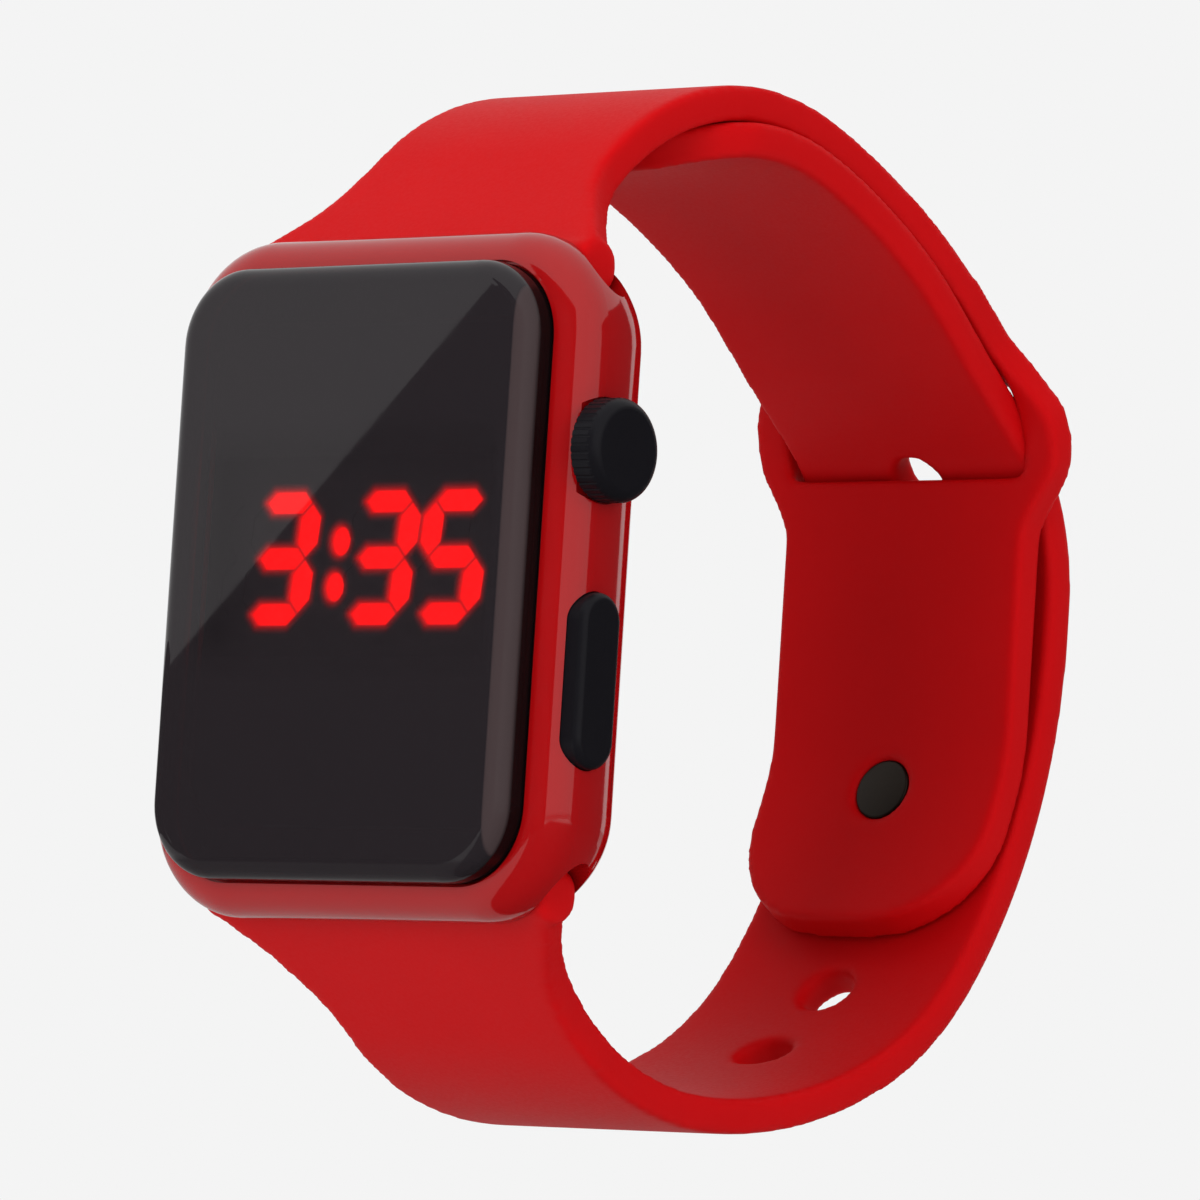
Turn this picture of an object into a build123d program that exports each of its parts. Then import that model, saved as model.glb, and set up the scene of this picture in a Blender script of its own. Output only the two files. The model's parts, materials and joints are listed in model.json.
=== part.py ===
"""Square LED watch on a pin-and-tuck silicone strap, closed as it is worn.

Millimetres. The origin is the centre of the case back's flat outer face.
+X points to 3 o'clock, +Z to 12 o'clock, and the face looks along -Y.
Heights in the case are measured from the case back towards the face.
"""
from build123d import *
from math import acos, asin, cos, degrees, radians, sin, sqrt, tan
import os

os.makedirs("parts", exist_ok=True)

# Case
CASE_W = 34.0
CASE_L = 42.5
CASE_CORNER_R = 6.9
SIDE_R = 8.4
SIDE_BAND = 5.0
SIDE_FRONT_R = 2.4
SIDE_REAR_R = 0.3
FACE_H = 10.9
CREST_H = 6.2
RIM_H = CREST_H + SIDE_FRONT_R
REAR_EDGE_H = 0.9
CORE_LAP = 0.5
CAVITY_W = 27.0
CAVITY_L = 31.4
CAVITY_R = 3.5
LENS_SEAT_H = 8.0
LENS_GAP = 0.15

# Lens and what lies under it
LENS_W = 28.96
LENS_L = 38.18
LENS_R = 4.85
LENS_EDGE_R = 1.22
TAPE_T = 0.15
TAPE_INSET = 0.4
MASK_H = 7.75
MASK_T = 0.2
INSERT_GAP = 0.2

# Display: digit centres, half distances between bar centres, bar and post widths
DIGIT_X = (-12.92, -7.12, 1.14, 6.94)
DIGIT_LIT = ("", "abcdg", "abcdg", "acdfg")
DIGIT_DARK = ("bc", "ef", "ef", "be")
DIGIT_HALF_W = 1.95
DIGIT_HALF_L = 3.49
DISPLAY_Z = 1.07
BAR_T = 1.3
POST_T = 1.65
SEGMENT_GAP = 0.1
SLANT = 6.2
COLON_X = -2.39
COLON_Z = 0.69
COLON_RISE = 1.42
COLON_W = 1.4
COLON_L = 1.75
WINDOW_GAP = 0.03
GUIDE_H = 6.15
GUIDE_TOP_H = 7.9

# Board and reflector
BOARD_H = 5.0
BOARD_T = 0.8
BOARD_X = (-12.9, 11.5)
BOARD_L = 30.6
BOARD_R = 3.0
REFLECTOR_X = (-13.1, 11.3)
REFLECTOR_Z = (-5.4, 7.8)
CHIP = 0.6
CHIP_T = 0.3
BLOB_AT = (-4.0, 10.4)
BLOB_R = 2.8
BLOB_T = 1.5
BLOB_EDGE_R = 1.35
CAN_R = 1.0
CAN_EDGE_R = 0.25
CAN_L = 6.0
CAN_AT = (2.4, 10.4)

# Frame under the board
FRAME_X = (-13.2, 11.8)
FRAME_L = 30.8
FRAME_R = 3.2
FRAME_H = 1.7
FRAME_TOP_H = 4.95
FRAME_CORNER_CUT_R = 2.45
FRAME_POCKET = (18.0, 6.0)
CELL_GAP = 0.15

# Cell and its contacts
CELL_D = 20.0
CELL_T = 2.5
CELL_H = 1.67
CELL_CAN_R = 0.4
CELL_AT = (-0.8, -3.5)
STRIP_T = 0.2
STRIP_W = 5.0
CLIP_OUT_X = -12.8
CLIP_IN_X = -3.0
CLIP_LOW_H = 1.45
CLIP_TAB_L = 1.2
BOW_HALF_L = 4.2
BOW_FOOT_L = 1.6
BOW_LOW_H = 4.19
CONTACT_TOP_H = 7.0
CONTACT_X = 12.5
CONTACT_FOOT_X = 10.2
CONTACT_T = 0.18
CONTACT_W = 2.4

# Case back
BACK_T = 1.3
BACK_W = 29.2
BACK_L = 34.2
BACK_R = 5.9
BACK_CHAMFER = 0.4
BACK_GAP = 0.1
SCREW_AT = (11.6, 13.6)
BOSS_R = 2.2
BOSS_TOP_H = 4.6
SCREW_R = 0.7
SCREW_GAP = 0.02
SCREW_HEAD_R = 1.3
SCREW_HEAD_T = 0.6
SCREW_L = 3.2
SCREW_SLOT_W = 0.35
SCREW_SLOT_T = 0.3
GASKET_MID = (28.2, 32.9)
GASKET_MID_R = 5.3
GASKET_W = 0.6
GASKET_T = 0.4
GROOVE_W = 0.7
GROOVE_T = 0.45

# Side buttons
BUTTON_H = 5.9
CROWN_Z = 7.67
CROWN_R = 3.2
CROWN_INNER_X = 16.95
CROWN_RIM_X = 18.2
CROWN_OUT_X = 18.85
CROWN_FACE_R = 2.5
CROWN_SHOULDER_MID = (18.65, 2.95)
CROWN_STEM_R = 1.1
CROWN_STEM_NECK_R = 0.6
CROWN_RIBS = 40
CROWN_RIB_R = 0.12
CROWN_POCKET_X = 16.45
PILL_Z = -6.4
PILL_L = 10.8
PILL_W = 3.6
PILL_INNER_X = 16.15
PILL_OUT_X = 17.75
PILL_EDGE_R = 0.5
PILL_STEM_R = 0.8
PILL_STEM_NECK_R = 0.4
PILL_STEM_RISE = 3.0
PILL_POCKET_X = 15.6
POCKET_GAP = 0.08
BORE_GAP = 0.05
BORE_START_X = 12.5
STEM_LAP = 0.1
STEM_END_X = 12.55
CLIP_X = 13.16
CLIP_T = 0.3
CLIP_GAP = 0.02
CLIP_MOUTH = 1.4
CROWN_CLIP_R = 1.7
PILL_CLIP_R = 1.3
SEAL_X = 14.5
SEAL_WIRE_R = 0.19
SEAL_GROOVE_W = 0.45

# Strap ends in the case
LUG_H = 4.2
LUG_Z = 19.3
LUG_GROOVE_R = 1.95
LUG_BAR_R = 1.82
LUG_MOUTH_H = 5.3
LUG_MOUTH = ((2.65, 19.55), (-0.9, 23.0))
LUG_HALF_W = 14.2
LUG_SHOULDER = ((18.8, 1.2), (24.4, 8.0))
LUG_ROD_R = 0.75
LUG_ROD_L = 26.4
LUG_ROD_END_X = 12.5

# Pin strap, along its outer face: start and heading in its side view, then its arcs
PIN_T = 2.3
PIN_W = 20.0
PIN_START = (-5.62, 20.33)
PIN_HEADING = 43.5
PIN_FRONT_L = 10.83
PIN_CREST_R = 21.4
PIN_BACK_HEADING = -19.5
PIN_BACK_R = 50.0
PIN_EAR_HEADING = -46.0
PIN_TUCK_R = 12.5
PIN_STUD_R = 15.0
PIN_TIP_TURN = 16.5
PIN_END_CORNER_R = 7.5
EAR_HALF_W = 12.6
EAR_Z = (8.8, 13.0, 16.0, 20.2)
EAR_R = 4.0
SLOT_HALF_W = 9.9
SLOT_Z = (12.1, 18.0)
SLOT_Y = (38.0, 50.0)

# Hole strap, along its outer face
HOLE_T = 2.3
HOLE_W = 20.2
HOLE_END_W = 19.4
HOLE_TAPER_Z = 33.0
HOLE_START = (-5.5, -20.55)
HOLE_HEADING = -37.5
HOLE_FRONT_L = 11.42
HOLE_FRONT_R = 24.65
HOLE_BELLY_R = 33.77
HOLE_FLEX_HEADING = 15.0
HOLE_TURN_HEADING = 26.77
HOLE_TURN_R = 25.09
HOLE_BACK_HEADING = 53.55
HOLE_BACK_R = 40.1
TAIL_SPLIT_HEADING = 65.0
TAIL_TURN_R = 15.0
TAIL_BACK_R = 9.0
TAIL_CROSS_HEADING = 141.0
TAIL_JOIN_HEADING = 137.0
TAIL_TIP_TURN = 47.0
TAIL_TIP_CORNER_R = 8.0
LAYER_GAP = 0.25
HOLE_D = 4.3
HOLE_PITCH = 7.7
HOLES_EACH_WAY = 3
STRAP_EDGE_R = 0.6
SAME_Z = 0.01
SIDE_FACE_X = 0.3
LONG_EDGE_L = 2.7

# Stud that buttons the two straps together
STUD_DROP = 17.9
STUD_DISC_R = 2.1
STUD_DISC_T = 0.6
STUD_DISC_SINK = 0.2
STUD_SHANK_R = 0.8
STUD_SHANK_OUT = 2.0
STUD_NECK_R = 1.7
STUD_HEAD_R = 3.0
STUD_HEAD_T = 1.2
STUD_HEAD_EDGE_R = 0.8
STUD_HEAD_GAP = 0.15
STUD_FIT = 0.02


def face_plane(height):
    """A sketch plane parallel to the case back, looking out of the face."""
    return Plane.XZ.offset(height)


def stem_plane(x, z):
    """A plane square to the button stems, with its own x axis along +Z."""
    return Plane(origin=(x, -BUTTON_H, z), x_dir=(0, 0, 1), z_dir=(1, 0, 0))


def walk(start, heading, runs):
    """Where a chain of straight runs (length, 0) and arcs (radius, turn) ends, and its heading."""
    y, z = start
    for size, turn in runs:
        now = radians(heading)
        if turn == 0:
            y += size * cos(now)
            z += size * sin(now)
        else:
            side = 1 if turn > 0 else -1
            after = radians(heading + turn)
            y += side * size * (sin(after) - sin(now))
            z -= side * size * (cos(after) - cos(now))
            heading += turn
    return (y, z), heading


def beside(point, heading, distance):
    """The point that lies a distance to the right of a heading."""
    return (point[0] + distance * sin(radians(heading)), point[1] - distance * cos(radians(heading)))


def at_depth(start, heading, runs, depth):
    """The same chain moved to its left by a depth."""
    moved = [(size - depth * ((turn > 0) - (turn < 0)), turn) for size, turn in runs]
    return beside(start, heading, -depth), heading, moved


def run_length(size, turn):
    return size if turn == 0 else size * radians(abs(turn))


def station(start, heading, runs, distance):
    """The point and heading a distance along a chain of runs."""
    for size, turn in runs:
        length = run_length(size, turn)
        if distance <= length:
            part = (distance, 0) if turn == 0 else (size, turn * distance / length)
            return walk(start, heading, [part])
        start, heading = walk(start, heading, [(size, turn)])
        distance -= length
    return start, heading


def draw_runs(start, heading, runs, right):
    """Draw a chain of runs, moved to its right by a distance, and give its two ends."""
    first = Vector(*beside(start, heading, right))
    point = first
    direction = Vector(cos(radians(heading)), sin(radians(heading)))
    for size, turn in runs:
        if turn == 0:
            run = Line(point, point + direction * size)
        elif turn > 0:
            run = JernArc(point, direction, size + right, turn)
        else:
            run = JernArc(point, direction, size - right, turn)
        point = run @ 1
        direction = run % 1
    return first, point


def side_view(start, heading, runs, right_a, right_b):
    """A strap's side view, between two lines that run beside its outer face."""
    with BuildSketch(Plane.YZ) as view:
        with BuildLine():
            first_a, last_a = draw_runs(start, heading, runs, right_a)
            first_b, last_b = draw_runs(start, heading, runs, right_b)
            Line(first_a, first_b)
            Line(last_a, last_b)
        make_face()
    return view.sketch


def plan_prism(half, corners, y_from, y_to):
    """A prism along Y over a strap's outline as the face sees it, from its right half."""
    outline = half + [(-x, z) for x, z in reversed(half)]
    with BuildPart() as prism:
        with BuildSketch(face_plane(-y_to)) as plan:
            with BuildLine():
                Polyline(*outline, close=True)
            make_face()
            for z, radius in corners:
                fillet(plan.vertices().filter_by_position(Axis.Y, z - SAME_Z, z + SAME_Z), radius)
        extrude(amount=y_to - y_from)
    return prism.part


def rounded_slab(width, length, radius, low, high, at=(0, 0)):
    """A rounded rectangular slab between two heights."""
    with BuildPart() as slab:
        with BuildSketch(face_plane(low)):
            with Locations(at):
                RectangleRounded(width, length, radius)
        extrude(amount=high - low)
    return slab.part


def block(x_range, height_range, z_range):
    """A plain block between two limits along each axis."""
    low, high = height_range
    return Box(
        x_range[1] - x_range[0], high - low, z_range[1] - z_range[0], mode=Mode.PRIVATE
    ).moved(Location((sum(x_range) / 2, -(low + high) / 2, sum(z_range) / 2)))


# Hole strap: lug, belly, flex line, back, tail split, then the turn through the slot
front_runs = [
    (HOLE_FRONT_L, 0),
    (HOLE_FRONT_R, -HOLE_HEADING),
    (HOLE_BELLY_R, HOLE_FLEX_HEADING),
]
flex_at, _ = walk(HOLE_START, HOLE_HEADING, front_runs)
end_runs = [
    (HOLE_BELLY_R, HOLE_TURN_HEADING - HOLE_FLEX_HEADING),
    (HOLE_TURN_R, HOLE_BACK_HEADING - HOLE_TURN_HEADING),
    (HOLE_BACK_R, TAIL_SPLIT_HEADING - HOLE_BACK_HEADING),
]
split_at, _ = walk(flex_at, HOLE_FLEX_HEADING, end_runs)
back_at, _ = walk(split_at, TAIL_SPLIT_HEADING, [(HOLE_BACK_R, 90 - TAIL_SPLIT_HEADING)])
back_centre = (back_at[0] - HOLE_BACK_R, back_at[1])

# Pin strap: its last arc lies against the hole strap's inner face
nest_r = HOLE_BACK_R - HOLE_T - LAYER_GAP
pin_front_runs = [
    (PIN_FRONT_L, 0),
    (PIN_CREST_R, PIN_BACK_HEADING - PIN_HEADING),
    (PIN_BACK_R, PIN_EAR_HEADING - PIN_BACK_HEADING),
    (PIN_TUCK_R, -90 - PIN_EAR_HEADING),
]
pin_back_at, _ = walk(PIN_START, PIN_HEADING, pin_front_runs)
nest_cos = (pin_back_at[0] - PIN_STUD_R - back_centre[0]) / (nest_r - PIN_STUD_R)
nest_turn = degrees(acos(nest_cos))
pin_line = pin_back_at[1] - back_centre[1] + (nest_r - PIN_STUD_R) * sin(radians(nest_turn))
pin_runs = pin_front_runs + [(pin_line, 0), (PIN_STUD_R, -nest_turn), (nest_r, -PIN_TIP_TURN)]

# Tail: it bends through the slot and then lies against the pin strap's inner face
join_turn = TAIL_JOIN_HEADING - 180 - PIN_BACK_HEADING
pin_join_runs = pin_front_runs[:2] + [(PIN_BACK_R, join_turn)]
pin_join_at, pin_join_heading = walk(PIN_START, PIN_HEADING, pin_join_runs)
join_at = beside(pin_join_at, pin_join_heading, PIN_T + LAYER_GAP)
turn_in = TAIL_CROSS_HEADING - 90
turn_back = TAIL_JOIN_HEADING - TAIL_CROSS_HEADING
bends_end, _ = walk(back_at, 90, [(TAIL_TURN_R, turn_in), (TAIL_BACK_R, turn_back)])
cross_l = (join_at[0] - bends_end[0]) / cos(radians(TAIL_CROSS_HEADING))
rise = join_at[1] - bends_end[1] - cross_l * sin(radians(TAIL_CROSS_HEADING))
turn_runs = [(rise, 0), (TAIL_TURN_R, turn_in), (cross_l, 0), (TAIL_BACK_R, turn_back)]
tuck_runs = [
    (PIN_BACK_R - PIN_T - LAYER_GAP, 180 + PIN_BACK_HEADING - TAIL_JOIN_HEADING),
    (PIN_CREST_R - PIN_T - LAYER_GAP, TAIL_TIP_TURN),
]
tail_runs = [(HOLE_BACK_R, 90 - TAIL_SPLIT_HEADING)] + turn_runs + tuck_runs

# Stations of the stud and the holes along the middle of the hole strap
mid_chain = at_depth(HOLE_START, HOLE_HEADING, front_runs + end_runs + tail_runs, HOLE_T / 2)
stud_runs = front_runs + end_runs[:2] + [(HOLE_BACK_R, 90 - STUD_DROP - HOLE_BACK_HEADING)]
_, _, stud_mid_runs = at_depth(HOLE_START, HOLE_HEADING, stud_runs, HOLE_T / 2)
stud_station = sum(run_length(size, turn) for size, turn in stud_mid_runs)
hole_planes = []
for step in range(-HOLES_EACH_WAY, HOLES_EACH_WAY + 1):
    (hole_y, hole_z), hole_heading = station(*mid_chain, stud_station + step * HOLE_PITCH)
    outward = (0, sin(radians(hole_heading)), -cos(radians(hole_heading)))
    hole_planes.append(Plane(origin=(0, hole_y, hole_z), x_dir=(1, 0, 0), z_dir=outward))

# Stud axis, with its origin on the pin strap's outer face
stud_dir = (0, cos(radians(STUD_DROP)), -sin(radians(STUD_DROP)))
stud_plane = Plane(
    origin=(0, back_centre[0] + nest_r * stud_dir[1], back_centre[1] + nest_r * stud_dir[2]),
    x_dir=(1, 0, 0),
    z_dir=stud_dir,
)


# Case body: a convex side swept round the crest, and a block inside it
half_w = CASE_W / 2
side_turn = degrees(asin((CREST_H - REAR_EDGE_H) / SIDE_R))
straight_w = CASE_W - 2 * CASE_CORNER_R
straight_l = CASE_L - 2 * CASE_CORNER_R
core_in = SIDE_BAND - CORE_LAP
case_core = rounded_slab(
    CASE_W - 2 * core_in, CASE_L - 2 * core_in, CASE_CORNER_R - core_in, REAR_EDGE_H, RIM_H
)
cavity = rounded_slab(CAVITY_W, CAVITY_L, CAVITY_R, 0, FACE_H)
lens_pocket = rounded_slab(
    LENS_W + 2 * LENS_GAP, LENS_L + 2 * LENS_GAP, LENS_R + LENS_GAP, LENS_SEAT_H, FACE_H
)
back_pocket = rounded_slab(
    BACK_W + 2 * BACK_GAP, BACK_L + 2 * BACK_GAP, BACK_R + BACK_GAP, 0, BACK_T
)
gasket_groove = rounded_slab(
    GASKET_MID[0] + GROOVE_W,
    GASKET_MID[1] + GROOVE_W,
    GASKET_MID_R + GROOVE_W / 2,
    BACK_T,
    BACK_T + GROOVE_T,
) - rounded_slab(
    GASKET_MID[0] - GROOVE_W, GASKET_MID[1] - GROOVE_W, GASKET_MID_R - GROOVE_W / 2, 0, FACE_H
)
mouth_low, mouth_out = LUG_MOUTH
with BuildPart() as lug_grooves:
    with BuildSketch(Plane.YZ) as groove:
        with Locations((-LUG_H, LUG_Z)):
            Circle(LUG_GROOVE_R)
        with BuildLine():
            Polyline(
                (-LUG_MOUTH_H, LUG_Z),
                (-LUG_MOUTH_H, mouth_out[1]),
                (-mouth_out[0], mouth_out[1]),
                (-mouth_low[0], mouth_low[1]),
                close=True,
            )
        make_face()
    extrude(amount=half_w, both=True)
    mirror(about=Plane.XY)

with BuildPart() as case_body:
    with BuildLine(face_plane(CREST_H)) as crest:
        run = Line((half_w, 0), (half_w, straight_l / 2))
        for length in (straight_w, straight_l / 2):
            bend = JernArc(run @ 1, run % 1, CASE_CORNER_R, 90)
            run = Line(bend @ 1, bend @ 1 + (bend % 1) * length)
    with BuildSketch(Plane.XY) as band:
        with BuildLine():
            front = JernArc((half_w, -CREST_H), (0, -1), SIDE_FRONT_R, -90)
            rear = JernArc((half_w, -CREST_H), (0, 1), SIDE_R, side_turn)
            Polyline(
                rear @ 1,
                (half_w - SIDE_BAND, -REAR_EDGE_H),
                (half_w - SIDE_BAND, -RIM_H),
                front @ 1,
            )
        make_face()
        fillet(band.vertices().sort_by(Axis.Y)[-2:].sort_by(Axis.X)[-1], SIDE_REAR_R)
    sweep(path=crest.wires()[0])
    mirror(about=Plane.XY)
    add(case_core)
    add(cavity, mode=Mode.SUBTRACT)
    with BuildSketch(face_plane(BACK_T)):
        with GridLocations(2 * SCREW_AT[0], 2 * SCREW_AT[1], 2, 2):
            Circle(BOSS_R)
    extrude(amount=BOSS_TOP_H - BACK_T)
    with BuildSketch(face_plane(BACK_T)):
        with GridLocations(2 * SCREW_AT[0], 2 * SCREW_AT[1], 2, 2):
            Circle(SCREW_R + SCREW_GAP)
    extrude(amount=SCREW_L, mode=Mode.SUBTRACT)
    add(lens_pocket, mode=Mode.SUBTRACT)
    add(back_pocket, mode=Mode.SUBTRACT)
    add(gasket_groove, mode=Mode.SUBTRACT)
    add(lug_grooves.part, mode=Mode.SUBTRACT)
    with BuildSketch(stem_plane(BORE_START_X, CROWN_Z)):
        Circle(CROWN_STEM_R + BORE_GAP)
    extrude(amount=SIDE_BAND, mode=Mode.SUBTRACT)
    with BuildSketch(stem_plane(CROWN_POCKET_X, CROWN_Z)):
        Circle(CROWN_R + POCKET_GAP)
    extrude(amount=SIDE_BAND, mode=Mode.SUBTRACT)
    with BuildSketch(stem_plane(BORE_START_X, PILL_Z)):
        with GridLocations(2 * PILL_STEM_RISE, 1, 2, 1):
            Circle(PILL_STEM_R + BORE_GAP)
    extrude(amount=SIDE_BAND, mode=Mode.SUBTRACT)
    with BuildSketch(stem_plane(PILL_POCKET_X, PILL_Z)):
        SlotOverall(PILL_L + 2 * POCKET_GAP, PILL_W + 2 * POCKET_GAP)
    extrude(amount=SIDE_BAND, mode=Mode.SUBTRACT)
case_body.part.label = "case_body"
export_step(case_body.part, "parts/case_body.step")

# Lens and the tape under it
with BuildPart() as display_lens:
    with BuildSketch(face_plane(LENS_SEAT_H + TAPE_T)):
        RectangleRounded(LENS_W, LENS_L, LENS_R)
    extrude(amount=FACE_H - LENS_SEAT_H - TAPE_T)
    fillet(display_lens.faces().sort_by(Axis.Y)[0].edges(), LENS_EDGE_R)
display_lens.part.label = "display_lens"
export_step(display_lens.part, "parts/display_lens.step")

with BuildPart() as lens_tape:
    with BuildSketch(face_plane(LENS_SEAT_H)):
        RectangleRounded(LENS_W - TAPE_INSET, LENS_L - TAPE_INSET, LENS_R - TAPE_INSET / 2)
        RectangleRounded(
            CAVITY_W + TAPE_INSET, CAVITY_L + TAPE_INSET, CAVITY_R + TAPE_INSET / 2, mode=Mode.SUBTRACT
        )
    extrude(amount=TAPE_T)
lens_tape.part.label = "lens_tape"
export_step(lens_tape.part, "parts/lens_tape.step")


# Seven-bar digits: each bar is six-sided with pointed ends, and the digit leans to the right
BAR_PLACES = {
    "a": (0, 2),
    "b": (1, 1),
    "c": (1, -1),
    "d": (0, -2),
    "e": (-1, -1),
    "f": (-1, 1),
    "g": (0, 0),
}


def lean(x, z):
    return (x + (z - DISPLAY_Z) * tan(radians(SLANT)), z)


def bar_points(digit_x, letter, grow=0.0):
    """The corners of one bar of the digit that is centred at digit_x."""
    across, up = BAR_PLACES[letter]
    upright = across != 0
    reach = (DIGIT_HALF_L / 2 if upright else DIGIT_HALF_W) - SEGMENT_GAP + grow
    half_t = (POST_T if upright else BAR_T) / 2 + grow
    shoulder = reach - half_t
    bar = [
        (-reach, 0),
        (-shoulder, half_t),
        (shoulder, half_t),
        (reach, 0),
        (shoulder, -half_t),
        (-shoulder, -half_t),
    ]
    if upright:
        bar = [(y, x) for x, y in bar]
    centre_x = digit_x + across * DIGIT_HALF_W
    centre_z = DISPLAY_Z + up * DIGIT_HALF_L / 2
    return [lean(centre_x + x, centre_z + z) for x, z in bar]


def draw_bars(letters, grow=0.0):
    """Draw the named bars of each digit in the sketch that is open."""
    for digit_x, named in zip(DIGIT_X, letters):
        for letter in named:
            Polygon(*bar_points(digit_x, letter, grow), align=None)


def draw_colon(grow=0.0):
    """Draw the two dots between the hours and the minutes."""
    for rise in (-COLON_RISE, COLON_RISE):
        shift = rise * tan(radians(SLANT))
        with Locations((COLON_X + shift, COLON_Z + rise)):
            Ellipse(COLON_W / 2 + grow, COLON_L / 2 + grow)


chip_at = [(COLON_X, COLON_Z - COLON_RISE), (COLON_X, COLON_Z + COLON_RISE)]
for digit_x, lit, dark in zip(DIGIT_X, DIGIT_LIT, DIGIT_DARK):
    for letter in lit + dark:
        corners = bar_points(digit_x, letter)
        chip_at.append((sum(x for x, z in corners) / 6, sum(z for x, z in corners) / 6))

with BuildPart() as lit_segments:
    with BuildSketch(face_plane(GUIDE_H)):
        draw_bars(DIGIT_LIT)
        draw_colon()
    extrude(amount=GUIDE_TOP_H - GUIDE_H)
lit_segments.part.label = "lit_segments"
export_step(lit_segments.part, "parts/lit_segments.step")

with BuildPart() as unlit_segments:
    with BuildSketch(face_plane(GUIDE_H)):
        draw_bars(DIGIT_DARK)
    extrude(amount=GUIDE_TOP_H - GUIDE_H)
unlit_segments.part.label = "unlit_segments"
export_step(unlit_segments.part, "parts/unlit_segments.step")

with BuildPart() as windows:
    with BuildSketch(face_plane(BOARD_H)):
        draw_bars(DIGIT_LIT, WINDOW_GAP)
        draw_bars(DIGIT_DARK, WINDOW_GAP)
        draw_colon(WINDOW_GAP)
    extrude(amount=FACE_H - BOARD_H)

with BuildPart() as dial_mask:
    add(
        rounded_slab(
            CAVITY_W - 2 * INSERT_GAP,
            CAVITY_L - 2 * INSERT_GAP,
            CAVITY_R - INSERT_GAP,
            MASK_H,
            MASK_H + MASK_T,
        )
    )
    add(windows.part, mode=Mode.SUBTRACT)
dial_mask.part.label = "dial_mask"
export_step(dial_mask.part, "parts/dial_mask.step")

with BuildPart() as led_reflector:
    add(block(REFLECTOR_X, (BOARD_H + BOARD_T, MASK_H), REFLECTOR_Z))
    add(windows.part, mode=Mode.SUBTRACT)
led_reflector.part.label = "led_reflector"
export_step(led_reflector.part, "parts/led_reflector.step")

with BuildPart() as led_chips:
    with BuildSketch(face_plane(BOARD_H + BOARD_T)):
        with Locations(*chip_at):
            Rectangle(CHIP, CHIP)
    extrude(amount=CHIP_T)
led_chips.part.label = "led_chips"
export_step(led_chips.part, "parts/led_chips.step")

# Board with the controller under its drop of resin and the clock crystal
with BuildPart() as circuit_board:
    add(
        rounded_slab(
            BOARD_X[1] - BOARD_X[0],
            BOARD_L,
            BOARD_R,
            BOARD_H,
            BOARD_H + BOARD_T,
            (sum(BOARD_X) / 2, 0),
        )
    )
circuit_board.part.label = "circuit_board"
export_step(circuit_board.part, "parts/circuit_board.step")

with BuildPart() as controller_blob:
    with BuildSketch(face_plane(BOARD_H - BLOB_T)):
        with Locations(BLOB_AT):
            Circle(BLOB_R)
    extrude(amount=BLOB_T)
    fillet(controller_blob.faces().sort_by(Axis.Y)[-1].edges(), BLOB_EDGE_R)
controller_blob.part.label = "controller_blob"
export_step(controller_blob.part, "parts/controller_blob.step")

with BuildPart() as crystal_can:
    with BuildSketch(Plane(origin=(CAN_AT[0], CAN_R - BOARD_H, CAN_AT[1]), z_dir=(1, 0, 0))):
        Circle(CAN_R)
    extrude(amount=CAN_L)
    fillet(crystal_can.faces().sort_by(Axis.X)[-1].edges(), CAN_EDGE_R)
crystal_can.part.label = "crystal_can"
export_step(crystal_can.part, "parts/crystal_can.step")

# Frame that carries the board and holds the cell
with BuildPart() as module_frame:
    add(
        rounded_slab(
            FRAME_X[1] - FRAME_X[0], FRAME_L, FRAME_R, FRAME_H, FRAME_TOP_H, (sum(FRAME_X) / 2, 0)
        )
    )
    with BuildSketch(face_plane(FRAME_H)):
        with Locations(CELL_AT):
            Circle(CELL_D / 2 + CELL_GAP)
        with Locations((0, BLOB_AT[1])):
            Rectangle(*FRAME_POCKET)
        with GridLocations(2 * SCREW_AT[0], 2 * SCREW_AT[1], 2, 2):
            Circle(FRAME_CORNER_CUT_R)
        with Locations((FRAME_X[0], CELL_AT[1])):
            Rectangle(2 * (CLIP_OUT_X + STRIP_T + CELL_GAP - FRAME_X[0]), STRIP_W + 2 * CELL_GAP)
    extrude(amount=FRAME_TOP_H - FRAME_H, mode=Mode.SUBTRACT)
    with BuildSketch(face_plane(BOARD_H - STRIP_T - CELL_GAP)):
        with Locations((FRAME_X[1], CROWN_Z)):
            Rectangle(2 * (FRAME_X[1] - CONTACT_FOOT_X + CELL_GAP), CONTACT_W + 2 * CELL_GAP)
        with Locations((FRAME_X[1], PILL_Z)):
            Rectangle(
                2 * (FRAME_X[1] - CONTACT_FOOT_X + CELL_GAP),
                2 * PILL_STEM_RISE + CONTACT_W + 2 * CELL_GAP,
            )
        with Locations((FRAME_X[0], CELL_AT[1])):
            Rectangle(
                2 * (CLIP_OUT_X + CLIP_TAB_L + CELL_GAP - FRAME_X[0]), STRIP_W + 2 * CELL_GAP
            )
    extrude(amount=STRIP_T + CELL_GAP, mode=Mode.SUBTRACT)
module_frame.part.label = "module_frame"
export_step(module_frame.part, "parts/module_frame.step")

# Cell, the clip that reaches under it, and the bowed spring over it
with BuildPart() as coin_cell:
    with BuildSketch(face_plane(CELL_H)):
        with Locations(CELL_AT):
            Circle(CELL_D / 2)
    extrude(amount=CELL_T)
    fillet(coin_cell.edges().filter_by(GeomType.CIRCLE), CELL_CAN_R)
coin_cell.part.label = "coin_cell"
export_step(coin_cell.part, "parts/coin_cell.step")

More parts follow.
